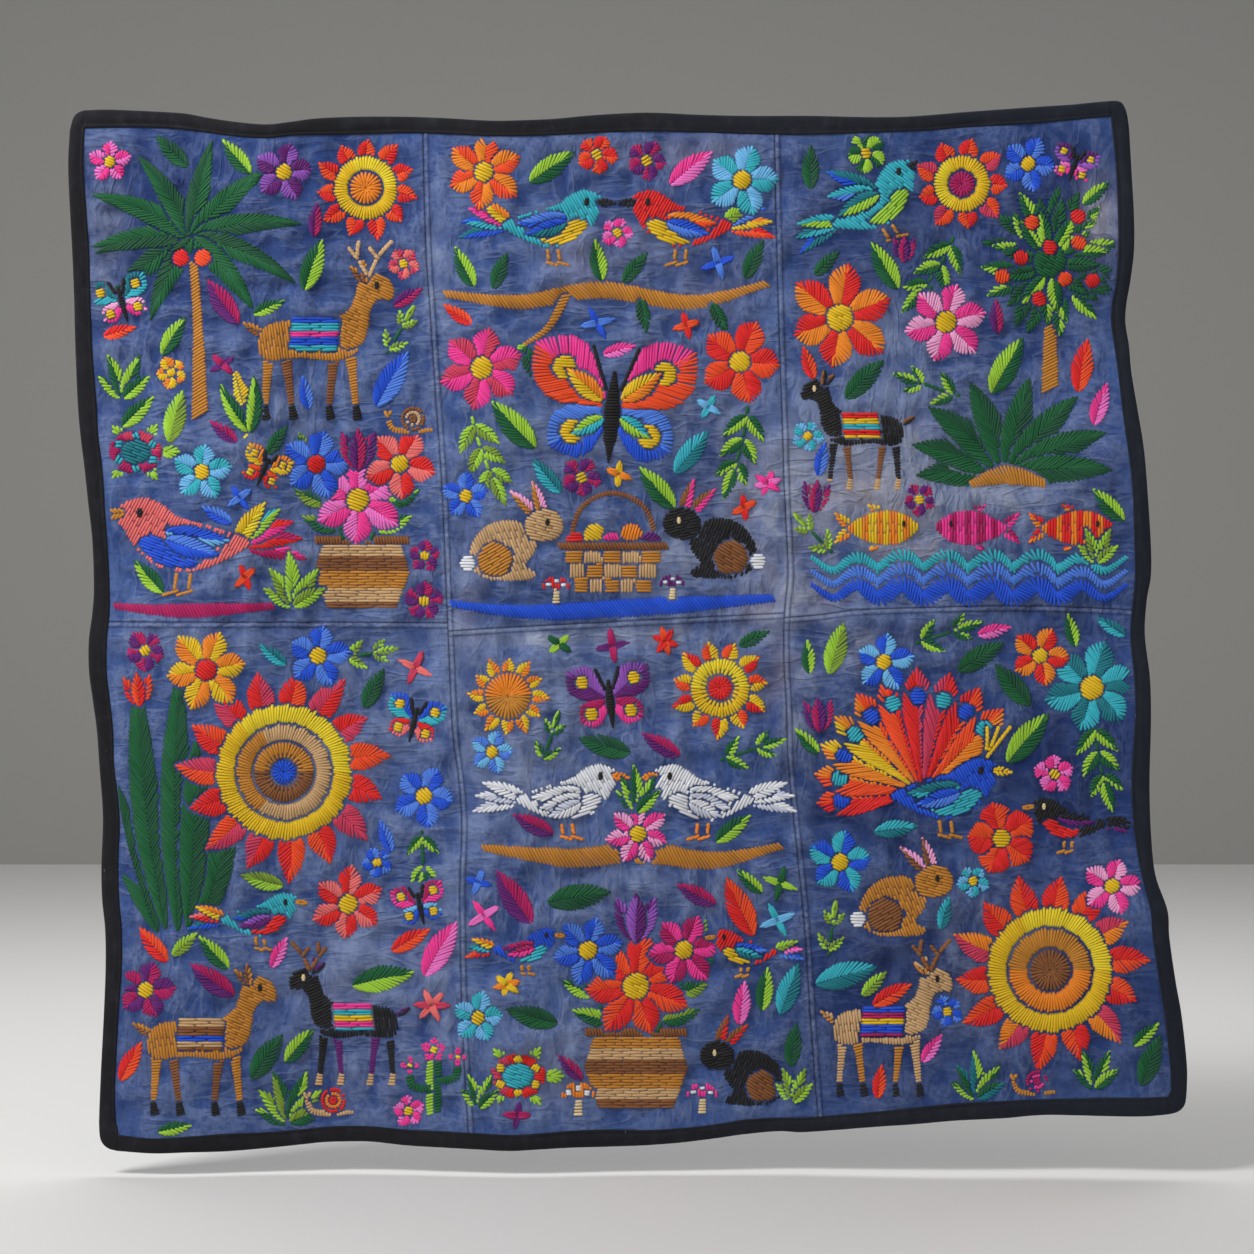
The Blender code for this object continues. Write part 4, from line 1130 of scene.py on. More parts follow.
# Creases listed one by one: start, end, half width in pixels and depth in millimetres; minus is a ridge
creases = (
    (700, 604, 782, 618, 5, 1.1), (716, 640, 788, 616, 4, -0.8), (792, 610, 846, 590, 5, 0.9),
    (800, 632, 872, 650, 6, 1.0), (784, 560, 806, 604, 5, -0.8), (742, 566, 776, 606, 6, 0.9),
    (455, 628, 560, 640, 5, -0.7), (470, 640, 640, 646, 6, 0.8), (560, 616, 700, 606, 5, -0.7),
    (226, 136, 236, 176, 6, 0.8), (262, 140, 262, 190, 7, -0.9), (318, 136, 306, 170, 6, 0.8),
    (425, 140, 418, 210, 6, 0.7), (560, 138, 552, 176, 6, 0.7), (612, 136, 622, 172, 6, -0.6),
    (700, 136, 706, 180, 7, 0.7), (802, 136, 812, 176, 6, 0.7), (924, 132, 914, 172, 7, -0.7),
    (1006, 128, 1010, 168, 6, 0.8), (1060, 124, 1054, 160, 6, -0.6), (96, 330, 140, 318, 6, 0.7),
    (104, 560, 150, 590, 7, 0.9), (110, 640, 160, 622, 6, -0.8), (120, 812, 166, 826, 7, 0.7),
    (1110, 300, 1062, 316, 8, 1.0), (1112, 340, 1070, 330, 7, -0.8), (1128, 560, 1080, 600, 8, 1.1),
    (1130, 640, 1070, 626, 7, 0.9), (1134, 860, 1090, 846, 7, 0.8), (1150, 920, 1110, 900, 7, -0.7),
    (1000, 1094, 1010, 1050, 6, 0.7), (900, 1106, 890, 1064, 6, -0.6), (780, 1112, 776, 1066, 6, 0.8),
    (560, 1126, 566, 1080, 6, 0.7), (350, 1122, 344, 1080, 6, -0.7), (250, 1130, 262, 1090, 6, 0.8),
    (600, 650, 700, 632, 7, 0.8), (900, 622, 1000, 618, 5, -0.6), (320, 600, 400, 618, 6, 0.7),
    (200, 634, 330, 628, 5, 0.7),
)
gridY, gridX = np.indices(relief.shape) * reliefCell
for x0, y0, x1, y1, half, depth in creases:
    length = hypot(x1 - x0, y1 - y0)
    wayX, wayY = (x1 - x0) / length, (y1 - y0) / length
    ahead = (gridX - x0) * wayX + (gridY - y0) * wayY
    aside = (gridX - x0) * -wayY + (gridY - y0) * wayX
    ends = hump(np.maximum(np.abs(ahead - length / 2) - length * 0.35, 0), 0.22 * length)
    relief -= depth * mm * ends * hump(aside, half)


# Small gathers across a line that holds the cloth
def ripple(run, offset, reach, height, spacing, bend, drift):
    return height * mm * np.sin(run / spacing + bend * np.sin(run / drift)) * np.exp(-offset / reach)


depths = []
for side, table in edges.items():
    level = side in ("top", "bottom")
    run, reach = (gridX, gridY) if level else (gridY, gridX)
    depths.append((reach - curveValue(table, run, 2)) * (1 if side in ("top", "left") else -1))
    bends = (4.6, 2.1, 31.0) if level else (4.9, 2.3, 37.0)
    relief += ripple(run, np.abs(depths[-1] - 5), 11.0, 0.28, *bends)
for index, (offset, here) in enumerate(seamOffsets(gridX, gridY)):
    run, bends = (gridY, (3.9, 2.4, 27.0)) if index < len(columnSeams) else (gridX, (3.8, 2.2, 29.0))
    relief += here * ripple(run, offset ** 2, 81.0, 0.24, *bends)
held = np.minimum.reduce(depths)
relief *= np.clip((held - 1.0) / puckers["heldWidth"], 0.12, 1.0)  # the binding holds the cloth flat
print("stage: cloth relief mapped")


def linked(name, data):
    thing = bpy.data.objects.new(name, data)
    bpy.context.scene.collection.objects.link(thing)
    return thing


def thicken(piece, thickness):
    solid = piece.modifiers.new("Thickness", "SOLIDIFY")
    solid.thickness = thickness
    solid.offset = 0.0
    return piece


def meshFrom(name, points, faces, values, uv=None):  # a smooth mesh of four-sided faces
    mesh = bpy.data.meshes.new(name)
    mesh.vertices.add(len(points))
    mesh.vertices.foreach_set("co", np.asarray(points, np.float32).ravel())
    mesh.loops.add(4 * len(faces))
    mesh.loops.foreach_set("vertex_index", np.asarray(faces, np.int32).ravel())
    mesh.polygons.add(len(faces))
    mesh.polygons.foreach_set("loop_start", np.arange(0, 4 * len(faces), 4, dtype=np.int32))
    mesh.polygons.foreach_set("use_smooth", np.ones(len(faces), bool))
    mesh.update(calc_edges=True)
    if uv is not None:
        layer = mesh.uv_layers.new(name="lay")
        layer.data.foreach_set("uv", np.asarray(uv, np.float32)[np.asarray(faces).ravel()].ravel())
    for key, numbers in values.items():
        field = mesh.attributes.new(key, "FLOAT", "POINT")
        field.data.foreach_set("value", np.asarray(numbers, np.float32).ravel())
    mesh.validate()
    return linked(name, mesh)


def gridFaces(rows, columns, start=0):
    index = start + np.arange(rows * columns).reshape(rows, columns)
    return np.stack((index[:-1, :-1], index[1:, :-1], index[1:, 1:], index[:-1, 1:]), axis=-1).reshape(-1, 4)


# A stitch rises out of the cloth, lies over it and dips in again: rings along it as share, rise and width
flatAcross = (-0.5, -0.27, 0.27, 0.5)
stitchForms = {
    "short": (((0.0, 0.05, 0.62), (0.17, 0.90, 0.96), (0.83, 0.90, 0.96), (1.0, 0.05, 0.62)), flatAcross),
    "long": (
        ((0.0, 0.05, 0.60), (0.12, 0.86, 0.95), (0.5, 1.0, 1.0), (0.88, 0.86, 0.95),
            (1.0, 0.05, 0.60)), flatAcross,
    ),
    "thread": (((0.0, 0.05, 0.8), (0.5, 1.0, 1.0), (1.0, 0.05, 0.8)), (-0.5, 0.0, 0.5)),
}
stitchSize = {"longFrom": 15.5, "rooted": 0.28 * mm, "arch": 0.95, "liftShare": 0.5}
clothSheet = {
    "thickness": 1.0 * mm, "spacing": 4.15, "nearSeam": (0.0, 1.2, 2.5, 3.8, 5.0, 6.6, 9.0), "under": (0.28,
        0.52),
    "turning": (3.0, 6.0, 9.0, 12.0), "turningGap": 0.25 * mm, "turningFall": 0.3 * mm,
}


# Rows of stitches as points, faces, uv, tone and how deep each point sits, which paints shade where the yarn
# dips into the cloth and along its sides
def stitchPoints(data, kind, uneven):
    rings, across = (np.array(part) for part in stitchForms[kind])
    count = len(data)
    start, end = data[:, 0:2], data[:, 2:4]
    lift = data[:, 4] * mm * (1.0 if kind == "thread" else stitchSize["liftShare"])
    width = data[:, 5] * yarn["width"] * uneven.uniform(0.92, 1.08, count)
    span = end - start
    length = np.maximum(np.linalg.norm(span, axis=1), 0.1)
    aside = np.stack((-span[:, 1], span[:, 0]), axis=1) / length[:, None]
    centre = start[:, None, :] + span[:, None, :] * rings[None, :, 0, None]
    offset = width[:, None, None] * rings[None, :, 2, None] * across[None, None, :]
    x = centre[:, :, None, 0] + aside[:, None, None, 0] * offset
    y = centre[:, :, None, 1] + aside[:, None, None, 1] * offset
    crown = yarn["rise"] * data[:, 5] ** 0.8 * uneven.uniform(0.86, 1.12, count) * np.clip(length / 9.0,
        0.72, 1.0)
    arch = np.where(np.abs(across) > 0.4, 0.0, stitchSize["arch"])
    height = crown[:, None, None] * rings[None, :, 1, None] * arch[None, None, :]
    height = height + lift[:, None, None] * np.clip(rings[:, 1], 0.35, 1.0)[None, :, None]
    height = height + clothSheet["thickness"] / 2 - stitchSize["rooted"]
    points = place(x, y, height, fullRise).reshape(-1, 3)
    starts = np.arange(count)[:, None, None] * len(rings) * len(across)
    faces = (gridFaces(len(rings), len(across)) + starts).reshape(-1, 4)
    u = np.broadcast_to((across + 0.5)[None, None, :], x.shape)
    v = rings[None, :, 0, None] * length[:, None, None] * metresPerPixel + uneven.uniform(0, 1, (count, 1, 1))
    uv = np.stack((u, np.broadcast_to(v, x.shape)), axis=-1).reshape(-1, 2)
    tone = np.broadcast_to(uneven.uniform(0, 1, (count, 1, 1)), x.shape).reshape(-1)
    # painted shade where the stitch dips into the cloth and along its sides
    sunkShade = np.maximum(1 - rings[None, :, 1, None], (np.abs(across) * 1.9 - 0.05)[None, None, :])
    return points, faces, uv, tone, np.broadcast_to(sunkShade, x.shape).reshape(-1)


def yarnPiece(name, rows):
    data = np.array(rows, float)
    uneven = np.random.default_rng(len(name) + len(data))
    length = np.hypot(data[:, 2] - data[:, 0], data[:, 3] - data[:, 1])
    if "Thread" in name:
        kinds = (("thread", length > 0),)
    else:
        kinds = (("short", length < stitchSize["longFrom"]), ("long", length >= stitchSize["longFrom"]))
    parts, start = [], 0
    for kind, chosen in kinds:
        if chosen.any():
            points, faces, uv, tone, sunkShade = stitchPoints(data[chosen], kind, uneven)
            parts.append((points, faces + start, uv, tone, sunkShade))
            start += len(points)
    points, faces, uv, tone, sunkShade = (np.concatenate(column) for column in zip(*parts))
    return meshFrom(name, points, faces, {"tone": tone, "sunkShade": np.clip(sunkShade, 0, 1)}, uv)


innerCorners = {
    ("left", "top"): (85.2, 127.6), ("right", "top"): (1111.2, 116.6), ("right", "bottom"): (1170.6, 1096.4),
    ("left", "bottom"): (117.2, 1133.4),
}


def blockCorner(column, row, side, level):
    outside = (side == "left" and column == 0) or (side == "right" and column == 2)
    edge = "top" if level == "upper" else "bottom"
    if outside and (level == "upper") == (row == 0):
        return innerCorners[side, edge]
    y = {("upper", 0): 127.0, ("upper", 1): 620.0, ("lower", 0): 620.0, ("lower", 1): 1115.0}[level, row]
    for _ in range(12):
        x = float(columnX(column, side, y))
        y = float(levelY(column, row, level, x))
    return x, y


def spacing(length, fineStart, fineEnd):  # shares along a side, finer where it meets a seam
    near = np.array(clothSheet["nearSeam"]) / length
    start = list(near) if fineStart else [0.0]
    end = list(1 - near[::-1]) if fineEnd else [1.0]
    count = max(2, round((end[0] - start[-1]) * length / clothSheet["spacing"]))
    middle = np.linspace(start[-1], end[0], count + 1)[1:-1]
    return np.array(start + list(middle) + end)


def blockLines(column, row):  # the block's grid as photograph places, inside the binding's inner line
    levels, sides = ("upper", "lower"), ("left", "right")
    corner = [[blockCorner(column, row, side, level) for side in sides] for level in levels]
    (topLeft, topRight), (lowLeft, lowRight) = corner
    s = spacing(topRight[0] - topLeft[0], column > 0, column < 2)
    t = spacing(lowLeft[1] - topLeft[1], row == 1, row == 0)
    lines = []
    for (first, last), level in zip(corner, levels):
        x = first[0] + (last[0] - first[0]) * s
        lines.append(np.stack((x, levelY(column, row, level, x)), axis=-1))
        lines[-1][[0, -1]] = first, last
    for (first, last), side in zip(zip(*corner), sides):
        y = first[1] + (last[1] - first[1]) * t
        lines.append(np.stack((columnX(column, side, y), y), axis=-1))
        lines[-1][[0, -1]] = first, last
    upper, lower, left, right = lines
    S, T = s[None, :, None], t[:, None, None]
    grid = (1 - T) * upper[None] + T * lower[None] + (1 - S) * left[:, None] + S * right[:, None]
    shares = ((1 - S) * (1 - T), S * (1 - T), (1 - S) * T, S * T)
    for share, point in zip(shares, (topLeft, topRight, lowLeft, lowRight)):
        grid = grid - share * np.array(point)
    return grid


def withTurnings(grid, column, row):  # carries the grid on under the binding
    for side in {0: ("left",), 2: ("right",)}.get(column, ()) + (("top", "bottom")[row],):
        axis, atStart = (0 if side in ("top", "bottom") else 1), side in ("top", "left")
        inner = np.take(grid, 0 if atStart else -1, axis=axis)
        outer = inner.copy()
        outer[:, 1 - axis] = curveValue(edges[side], inner[:, axis], 1)
        for share in clothSheet["under"]:
            added = np.expand_dims(inner + (outer - inner) * share, axis)
            grid = np.concatenate((added, grid) if atStart else (grid, added), axis=axis)
    return grid


def bumpAt(x, y, rows):  # soft-edged patches: centre, half width, half height, strength
    return np.max([
        strength * np.exp(-((x - centreX) / halfX) ** 2 - ((y - centreY) / halfY) ** 2)
        for centreX, centreY, halfX, halfY, strength in rows
    ], axis=0)


dyeMarks = {
    "faded": (
        (800, 510, 66, 74, 1.0), (860, 466, 74, 44, 0.95), (790, 590, 50, 40, 0.85), (850, 646, 46, 18, 0.7),
        (740, 560, 34, 60, 0.55), (960, 500, 110, 34, 0.9), (900, 540, 90, 36, 0.85),
        (1060, 520, 40, 30, 0.4), (640, 636, 150, 14, 0.6), (540, 640, 90, 12, 0.7), (452, 600, 26, 70, 0.4),
        (1100, 226, 20, 46, 0.75), (282, 800, 60, 44, 0.45), (990, 960, 60, 70, 0.45),
        (640, 890, 150, 26, 0.35), (600, 1060, 70, 50, 0.35), (660, 152, 100, 16, 0.35),
        (104, 250, 24, 110, 0.35), (436, 300, 18, 150, 0.3), (700, 420, 50, 40, 0.45),
        (260, 420, 60, 60, 0.25), (400, 560, 40, 50, 0.35), (440, 960, 30, 120, 0.3),
        (800, 700, 20, 70, 0.65), (690, 560, 70, 60, 0.6), (560, 470, 90, 60, 0.3), (700, 680, 60, 40, 0.5),
        (300, 560, 90, 50, 0.3), (350, 740, 80, 110, 0.30), (530, 740, 90, 110, 0.40),
        (350, 1000, 80, 100, 0.35), (890, 490, 130, 90, 1.0), (900, 330, 60, 40, 0.25),
        (180, 640, 90, 14, 0.3), (640, 240, 90, 40, 0.25),
    ),
    "stain": (
        (800, 556, 40, 60, 0.75), (872, 500, 60, 26, 0.6), (760, 606, 50, 14, 0.6), (842, 660, 60, 16, 0.65),
        (902, 556, 60, 16, 0.4), (600, 262, 60, 44, 0.3), (690, 300, 60, 30, 0.25), (1094, 226, 16, 40, 0.4),
        (700, 156, 70, 20, 0.25), (782, 690, 18, 60, 0.5), (740, 500, 34, 40, 0.35), (960, 480, 80, 14, 0.3),
        (466, 600, 18, 60, 0.25), (560, 1076, 60, 30, 0.2),
    ),
    "deep": (
        (1040, 190, 110, 90, 0.60), (1104, 520, 40, 60, 0.8), (1060, 604, 90, 18, 0.7),
        (712, 470, 40, 60, 0.6), (1130, 780, 34, 130, 0.85), (1150, 1010, 40, 110, 0.85),
        (900, 636, 90, 18, 0.85), (130, 150, 60, 30, 0.4), (330, 640, 120, 16, 0.45),
        (140, 1040, 44, 110, 0.4), (560, 606, 90, 14, 0.4), (1020, 630, 110, 20, 0.7),
        (880, 780, 110, 120, 1.0), (900, 980, 120, 130, 1.0), (1060, 780, 110, 140, 1.0),
        (560, 170, 60, 40, 0.3), (350, 180, 40, 60, 0.35), (470, 700, 20, 60, 0.35), (730, 700, 40, 80, 0.4),
        (760, 980, 40, 90, 0.45), (240, 610, 90, 12, 0.3), (1000, 300, 90, 60, 0.3),
        (330, 1080, 90, 40, 0.25), (720, 620, 50, 10, 0.5), (170, 220, 120, 130, 0.85),
        (350, 220, 90, 110, 0.55), (710, 220, 90, 90, 0.50), (880, 220, 110, 100, 0.85),
        (1060, 220, 110, 120, 1.0), (890, 990, 120, 140, 1.0), (1070, 1000, 110, 120, 0.95),
        (980, 690, 160, 60, 0.5),
    ),
    "blue": (
        (250, 190, 220, 120, 0.9), (130, 420, 90, 200, 0.6), (620, 180, 200, 60, 0.45),
        (1040, 200, 160, 120, 0.8), (1080, 420, 90, 120, 0.6), (470, 380, 70, 160, 0.4),
        (1080, 820, 110, 260, 0.85), (240, 940, 160, 220, 0.5), (700, 900, 120, 200, 0.55),
        (520, 900, 100, 200, 0.35), (950, 1040, 160, 80, 0.6),
    ),
}


def clothPiece(name, column, row):
    grid = withTurnings(blockLines(column, row), column, row)
    points = [place(grid[..., 0], grid[..., 1], 0.0, fullRise).reshape(-1, 3)]
    faces = [gridFaces(*grid.shape[:2])]
    places = [grid.reshape(-1, 2)]
    start = len(places[0])
    under = len(clothSheet["under"])
    upDown = slice(under, None) if row == 0 else slice(None, -under)
    across = (slice(under, None), slice(None), slice(None, -under))[column]
    turned = [(grid[-1, across], (0, -1)) if row == 0 else (grid[0, across], (0, 1))]
    if column > 0:
        turned.append((grid[upDown, 0], (1, 0)))
    if column < 2:
        turned.append((grid[upDown, -1], (-1, 0)))
    for line, way in turned:  # the seam's turnings, pressed flat behind, with an uneven raw edge
        strip = np.stack([line + np.array(way) * depth for depth in clothSheet["turning"]])
        count = np.arange(strip.shape[1])
        fray = 0.9 * np.sin(count * 1.7) + 0.6 * np.sin(count * 0.61)
        strip[-1] += np.array(way)[None, :] * fray[:, None]
        fall = clothSheet["turningFall"] * np.linspace(0, 1, len(strip))[:, None]
        lift = np.broadcast_to(-(clothSheet["thickness"] + clothSheet["turningGap"]) - fall, strip.shape[:2])
        points.append(place(strip[..., 0], strip[..., 1], lift, fullRise).reshape(-1, 3))
        faces.append(gridFaces(*strip.shape[:2], start))
        places.append(strip.reshape(-1, 2))
        start += len(places[-1])
    x, y = np.concatenate(places).T
    marks = {key: bumpAt(x, y, rows) for key, rows in dyeMarks.items()}
    # the relief's height, for wear with a painted highlight on the rises and painted shade in the hollows
    marks["wearAndShading"] = np.clip(readMap(relief, x, y) / (0.9 * mm) + 0.5, 0, 1)
    # nearness to the stitches, which paints shadow round the embroidery
    marks["shaded"] = readMap(nearSewing, x, y)
    marks["ridge"], marks["groove"] = seamWearAndShading(x, y)
    return thicken(meshFrom(name, np.concatenate(points), np.concatenate(faces), marks),
        clothSheet["thickness"])


# The pressed ridge beside a seam, where the dye rubs off and a highlight is painted, and the dark lines along
# it, painted shade in the seam's grooves
def seamWearAndShading(x, y):
    ridge = groove = np.zeros(np.shape(x))
    band = seamRelief["band"]
    for offset, here in seamOffsets(x, y):
        wearAndShading = np.maximum(hump(offset - band * 0.45, 1.9), 0.6 * hump(offset + 2.4, 1.6))
        # painted shade along the folded edge and along the stitch line
        dark = np.maximum(hump(offset - 0.1, 1.0), 0.8 * hump(offset - band - 0.4, 1.1))
        ridge = np.maximum(ridge, np.where(here, wearAndShading, 0.0))
        groove = np.maximum(groove, np.where(here, dark, 0.0))
    return ridge, groove


# The folded binding from front hem to back hem: share of its width, millimetres off the cloth's middle
bindingForm = (
    (1.000, 0.62), (0.985, 1.12), (0.930, 1.34), (0.870, 1.20), (0.820, 1.06), (0.760, 1.30), (0.640, 1.62),
    (0.500, 1.74), (0.340, 1.70), (0.190, 1.54), (0.080, 1.16), (0.020, 0.55), (0.000, 0.0), (0.020, -0.55),
    (0.080, -1.16), (0.190, -1.50), (0.420, -1.62), (0.660, -1.52), (0.800, -1.16), (0.870, -1.22),
    (0.960, -1.24), (1.000, -0.70),
)
bindingCloth = {"thickness": 0.8 * mm, "flatWidth": 0.029, "step": 4.0, "tuck": 1.2, "wrinkle": 0.30,
    "seed": 41}


def sideStations(side):  # outer and inner points of a side strip, round both of its corners
    table, step = edges[side], bindingCloth["step"]
    spots = np.arange(table[0][0] + step, table[-1][0] - 1.0, step)
    turns = []
    for level, runRow in (("top", table[0]), ("bottom", table[-1])):
        endRow = edges[level][0 if side == "left" else -1]
        first, second = sorted(corners[side, level], key=lambda point: abs(point[0] - endRow[0]))
        turn = smoothPath([(endRow[0], endRow[1]), first, second, (runRow[1], runRow[0])])
        shares = [index / (len(turn) - 1) for index in range(len(turn))]
        turns.append((turn, [along((endRow[0], endRow[2]), (runRow[2], runRow[0]),
            share) for share in shares]))
    return tuple(
        np.array(top + list(zip(curveValue(table, spots, line), spots)) + low[::-1], float)
        for line, (top, low) in enumerate(zip(*turns), 1)
    )


def levelStations(side):
    table, tuck = edges[side], bindingCloth["tuck"]
    count = round((table[-1][0] - table[0][0]) / bindingCloth["step"])
    spots = np.linspace(table[0][0] - tuck, table[-1][0] + tuck, count)
    return tuple(np.stack((spots, curveValue(table, spots, line)), axis=-1) for line in (1, 2))


def bindingPiece(name, outer, inner):
    uneven = np.random.default_rng(bindingCloth["seed"] + len(name))
    form = np.array(bindingForm)
    count, spread, margin, reach = len(outer), 5, 20, 12
    share, height = form[None, :, 0], form[None, :, 1] * mm

    def unevenRows(cells):  # unevenness along the strip, different across it
        values = uneven.standard_normal((count + 2 * margin, spread))
        kernel = np.exp(-0.5 * (np.arange(-reach, reach + 1) / cells) ** 2)
        kernel /= kernel.sum()
        values = np.apply_along_axis(lambda line: np.convolve(line, kernel, mode="same"), 0, values)
        values = values[margin:margin + count] / values.std()
        return np.stack([np.interp(form[:, 0], np.linspace(0, 1, spread), line) for line in values])

    puff = np.clip(1.5 * form[:, 0] * (1.15 - form[:, 0]), 0, 0.6)[None, :]
    swell = bindingCloth["wrinkle"] * mm * (unevenRows(1.6) * 0.6 + unevenRows(4.0)) * puff * 1.6
    height = height + np.sign(form[None, :, 1]) * swell
    wobble = 1 + 0.022 * unevenRows(7.0)[:, :1] * share
    flat = outer[:, None, :] + (inner - outer)[:, None, :] * (share * wobble)[..., None]
    points = place(flat[..., 0], flat[..., 1], height, bindingRise).reshape(-1, 3)
    run = measured((outer + inner) / 2)[1] * metresPerPixel
    around = measured(form * (photo["bindingWidth"], mm))[1]
    uv = np.stack(np.broadcast_arrays(around[None, :], run[:, None]), axis=-1).reshape(-1, 2)
    fold = np.broadcast_to(hump(share, 0.07), (count, len(form)))
    middle = (outer[:, None, :] + (inner - outer)[:, None, :] * share[..., None]).reshape(-1, 2)
    marks = {"fold": fold, "blue": np.clip((middle[:, 0] - 500) / 600, 0, 1)}
    return thicken(meshFrom(name, points, gridFaces(count, len(form)), marks, uv), bindingCloth["thickness"])


def bindingRise(x, y):
    return clothRise(x, y) + 0.35 * readMap(relief, x, y)


# Materials. Colours are as seen on screen, from 0 to 255
drawing = {}  # the node tree that the calls below add to


def newNode(kind):
    return drawing["tree"].nodes.new("ShaderNode" + kind)


def feed(socket, value):
    if isinstance(value, (int, float, tuple)):
        socket.default_value = value
    elif value is not None:
        drawing["tree"].links.new(value, socket)


def newGroup(name, inputs, outputs):
    group = drawing["tree"] = bpy.data.node_groups.new(name, "ShaderNodeTree")
    for label, value in inputs.items():
        socket = group.interface.new_socket(name=label, in_out="INPUT", socket_type="NodeSocketFloat")
        socket.default_value = value
    for label in outputs:
        group.interface.new_socket(name=label, in_out="OUTPUT", socket_type="NodeSocketFloat")
    put = group.nodes.new("NodeGroupOutput")

    def give(*results):
        for socket, value in zip(put.inputs, results):
            feed(socket, value)
        return group
    return group.nodes.new("NodeGroupInput").outputs, give


def made(kind, output, inputs, **settings):  # one output of a new node with these inputs and settings
    node = newNode(kind)
    for key, value in settings.items():
        setattr(node, key, value)
    for label, value in inputs.items():
        feed(node.inputs[label], value)
    return node.outputs[output]


def maths(operation, first, second=None, clamp=False):
    return made("Math", 0, {0: first, 1: second}, operation=operation, use_clamp=clamp)


def times(first, second):
    return maths("MULTIPLY", first, second)


def plus(first, second):
    return maths("ADD", first, second)


def held(first, second):  # a product kept between 0 and 1
    return maths("MULTIPLY", first, second, True)


def less(value, share=1.0):
    return maths("SUBTRACT", 1.0, held(value, share))


def noiseNode(vector, scale, detail, roughness=0.55, distortion=0.0):
    inputs = dict(Vector=vector, Scale=scale, Detail=detail, Roughness=roughness, Distortion=distortion)
    return made("TexNoise", 0, inputs)


def span(value, low, high):  # 0 at low, 1 at high, smooth between
    inputs = {"Value": value, "From Min": low, "From Max": high}
    return made("MapRange", "Result", inputs, interpolation_type="SMOOTHSTEP")


def mix(share, first, second):
    return made("Mix", 2, {0: share, 6: first, 7: second}, data_type="RGBA")


def field(name):
    return made("Attribute", "Fac", {}, attribute_name=name)


def scaled(x, y, z, vector=None):  # by default the object's own place, scaled
    vector = vector or newNode("TexCoord").outputs["Object"]
    return made("Mapping", "Vector", {"Scale": (x, y, z), "Vector": vector})


def split(vector):  # its three parts, as sockets
    node = newNode("SeparateXYZ")
    feed(node.inputs[0], vector)
    return node.outputs


def buildPlainWeave():  # warp over weft, with threads of uneven thickness and small slubs
    given, give = newGroup("plainWeave", {"Threads per metre": 1100.0, "Slub": 0.5}, ("Height", "Shade"))
    spot = scaled(1, 1, 1)
    shift = times(maths("SUBTRACT", noiseNode(spot, 130.0, 2.0), 0.5), 7.0)
    waves = []
    for axis in (0, 2):
        turns = times(split(spot)[axis], times(given[0], pi))
        waves.append(maths("SINE", plus(turns, shift)))
    threads = plus(maths("ABSOLUTE", waves[0]), maths("ABSOLUTE", waves[1]))
    slubs = plus(noiseNode(scaled(60, 60, 900), 1.0, 2.0), noiseNode(scaled(900, 60, 60), 1.0, 2.0))
    slub = times(slubs, given[1])
    height = plus(times(times(waves[0], waves[1]), 0.35), times(threads, 0.3))
    return give(plus(height, slub), plus(times(threads, 0.35), times(slub, 0.7)))


def buildDyeMottle():  # soft blotches at three sizes, as hand dye and washing leave
    given, give = newGroup("dyeMottle", {"Blotches per metre": 22.0}, ("Broad", "Streak", "Fine"))
    broad = noiseNode(scaled(1, 1, 0.8), given[0], 3.0, 0.50, 0.15)
    streak = noiseNode(scaled(1, 1, 0.6), times(given[0], 3.4), 5.0, 0.62, 0.5)
    return give(broad, streak, noiseNode(scaled(1, 1, 1), times(given[0], 17.0), 4.0, 0.7))


def buildCreases():  # fine puckers, drawn out across the cloth in one place and down it in the next
    given, give = newGroup("creases", {"Creases per metre": 1.0}, ("Ridge", "Furrow"))
    choice = span(noiseNode(scaled(1, 1, 1), 14.0, 2.0), 0.44, 0.60)
    ridges, furrows = [], []
    for spread, share in (((30, 30, 92), less(choice)), ((84, 84, 34), choice)):
        uneven = noiseNode(scaled(*spread), given[0], 2.5, 0.5, 0.5)
        off = maths("ABSOLUTE", maths("SUBTRACT", uneven, 0.5))
        ridges.append(times(span(off, 0.11, 0.0), share))
        furrows.append(times(span(uneven, 0.55, 0.70), share))
    return give(plus(*ridges), plus(*furrows))


def buildYarnTwist():  # three soft plies and their fibres, along the stitch
    given, give = newGroup("yarnTwist", {"Plies": 3.0, "Turns per metre": 85.0}, ("Height", "Shade"))
    lay = newNode("UVMap")
    lay.uv_map = "lay"
    sides = split(lay.outputs[0])
    turns = plus(times(sides[0], given[0]), times(sides[1], given[1]))
    ply = maths("ABSOLUTE", maths("SINE", times(turns, pi)))
    fibre = noiseNode(scaled(16.0, 420.0, 1.0, lay.outputs[0]), 1.0, 3.0, 0.6, 0.6)
    height = plus(times(maths("POWER", ply, 0.6), 0.62), times(fibre, 0.5))
    return give(height, plus(times(span(ply, 0.0, 0.55), 0.55), times(fibre, 0.75)))


groups = {"weave": buildPlainWeave(), "mottle": buildDyeMottle(), "creases": buildCreases(),
    "twist": buildYarnTwist()}


def useGroup(key, **values):
    node = newNode("Group")
    node.node_tree = groups[key]
    for label, value in values.items():
        node.inputs[label.replace("_", " ")].default_value = value
    return node.outputs


def newMaterial(name, finish):
    material = bpy.data.materials.new(name)
    material.use_nodes = True
    drawing["tree"] = material.node_tree
    shader = material.node_tree.nodes["Principled BSDF"]
    for label, value in zip(("Roughness", "Sheen Weight", "Sheen Roughness", "Specular IOR Level"), finish):
        shader.inputs[label].default_value = value
    return material, shader.inputs


def tinted(base, colours, layers):  # lays colours over a base, each as strong as its share
    for share, name in layers:
        base = mix(share, base, colours[name])
    return base


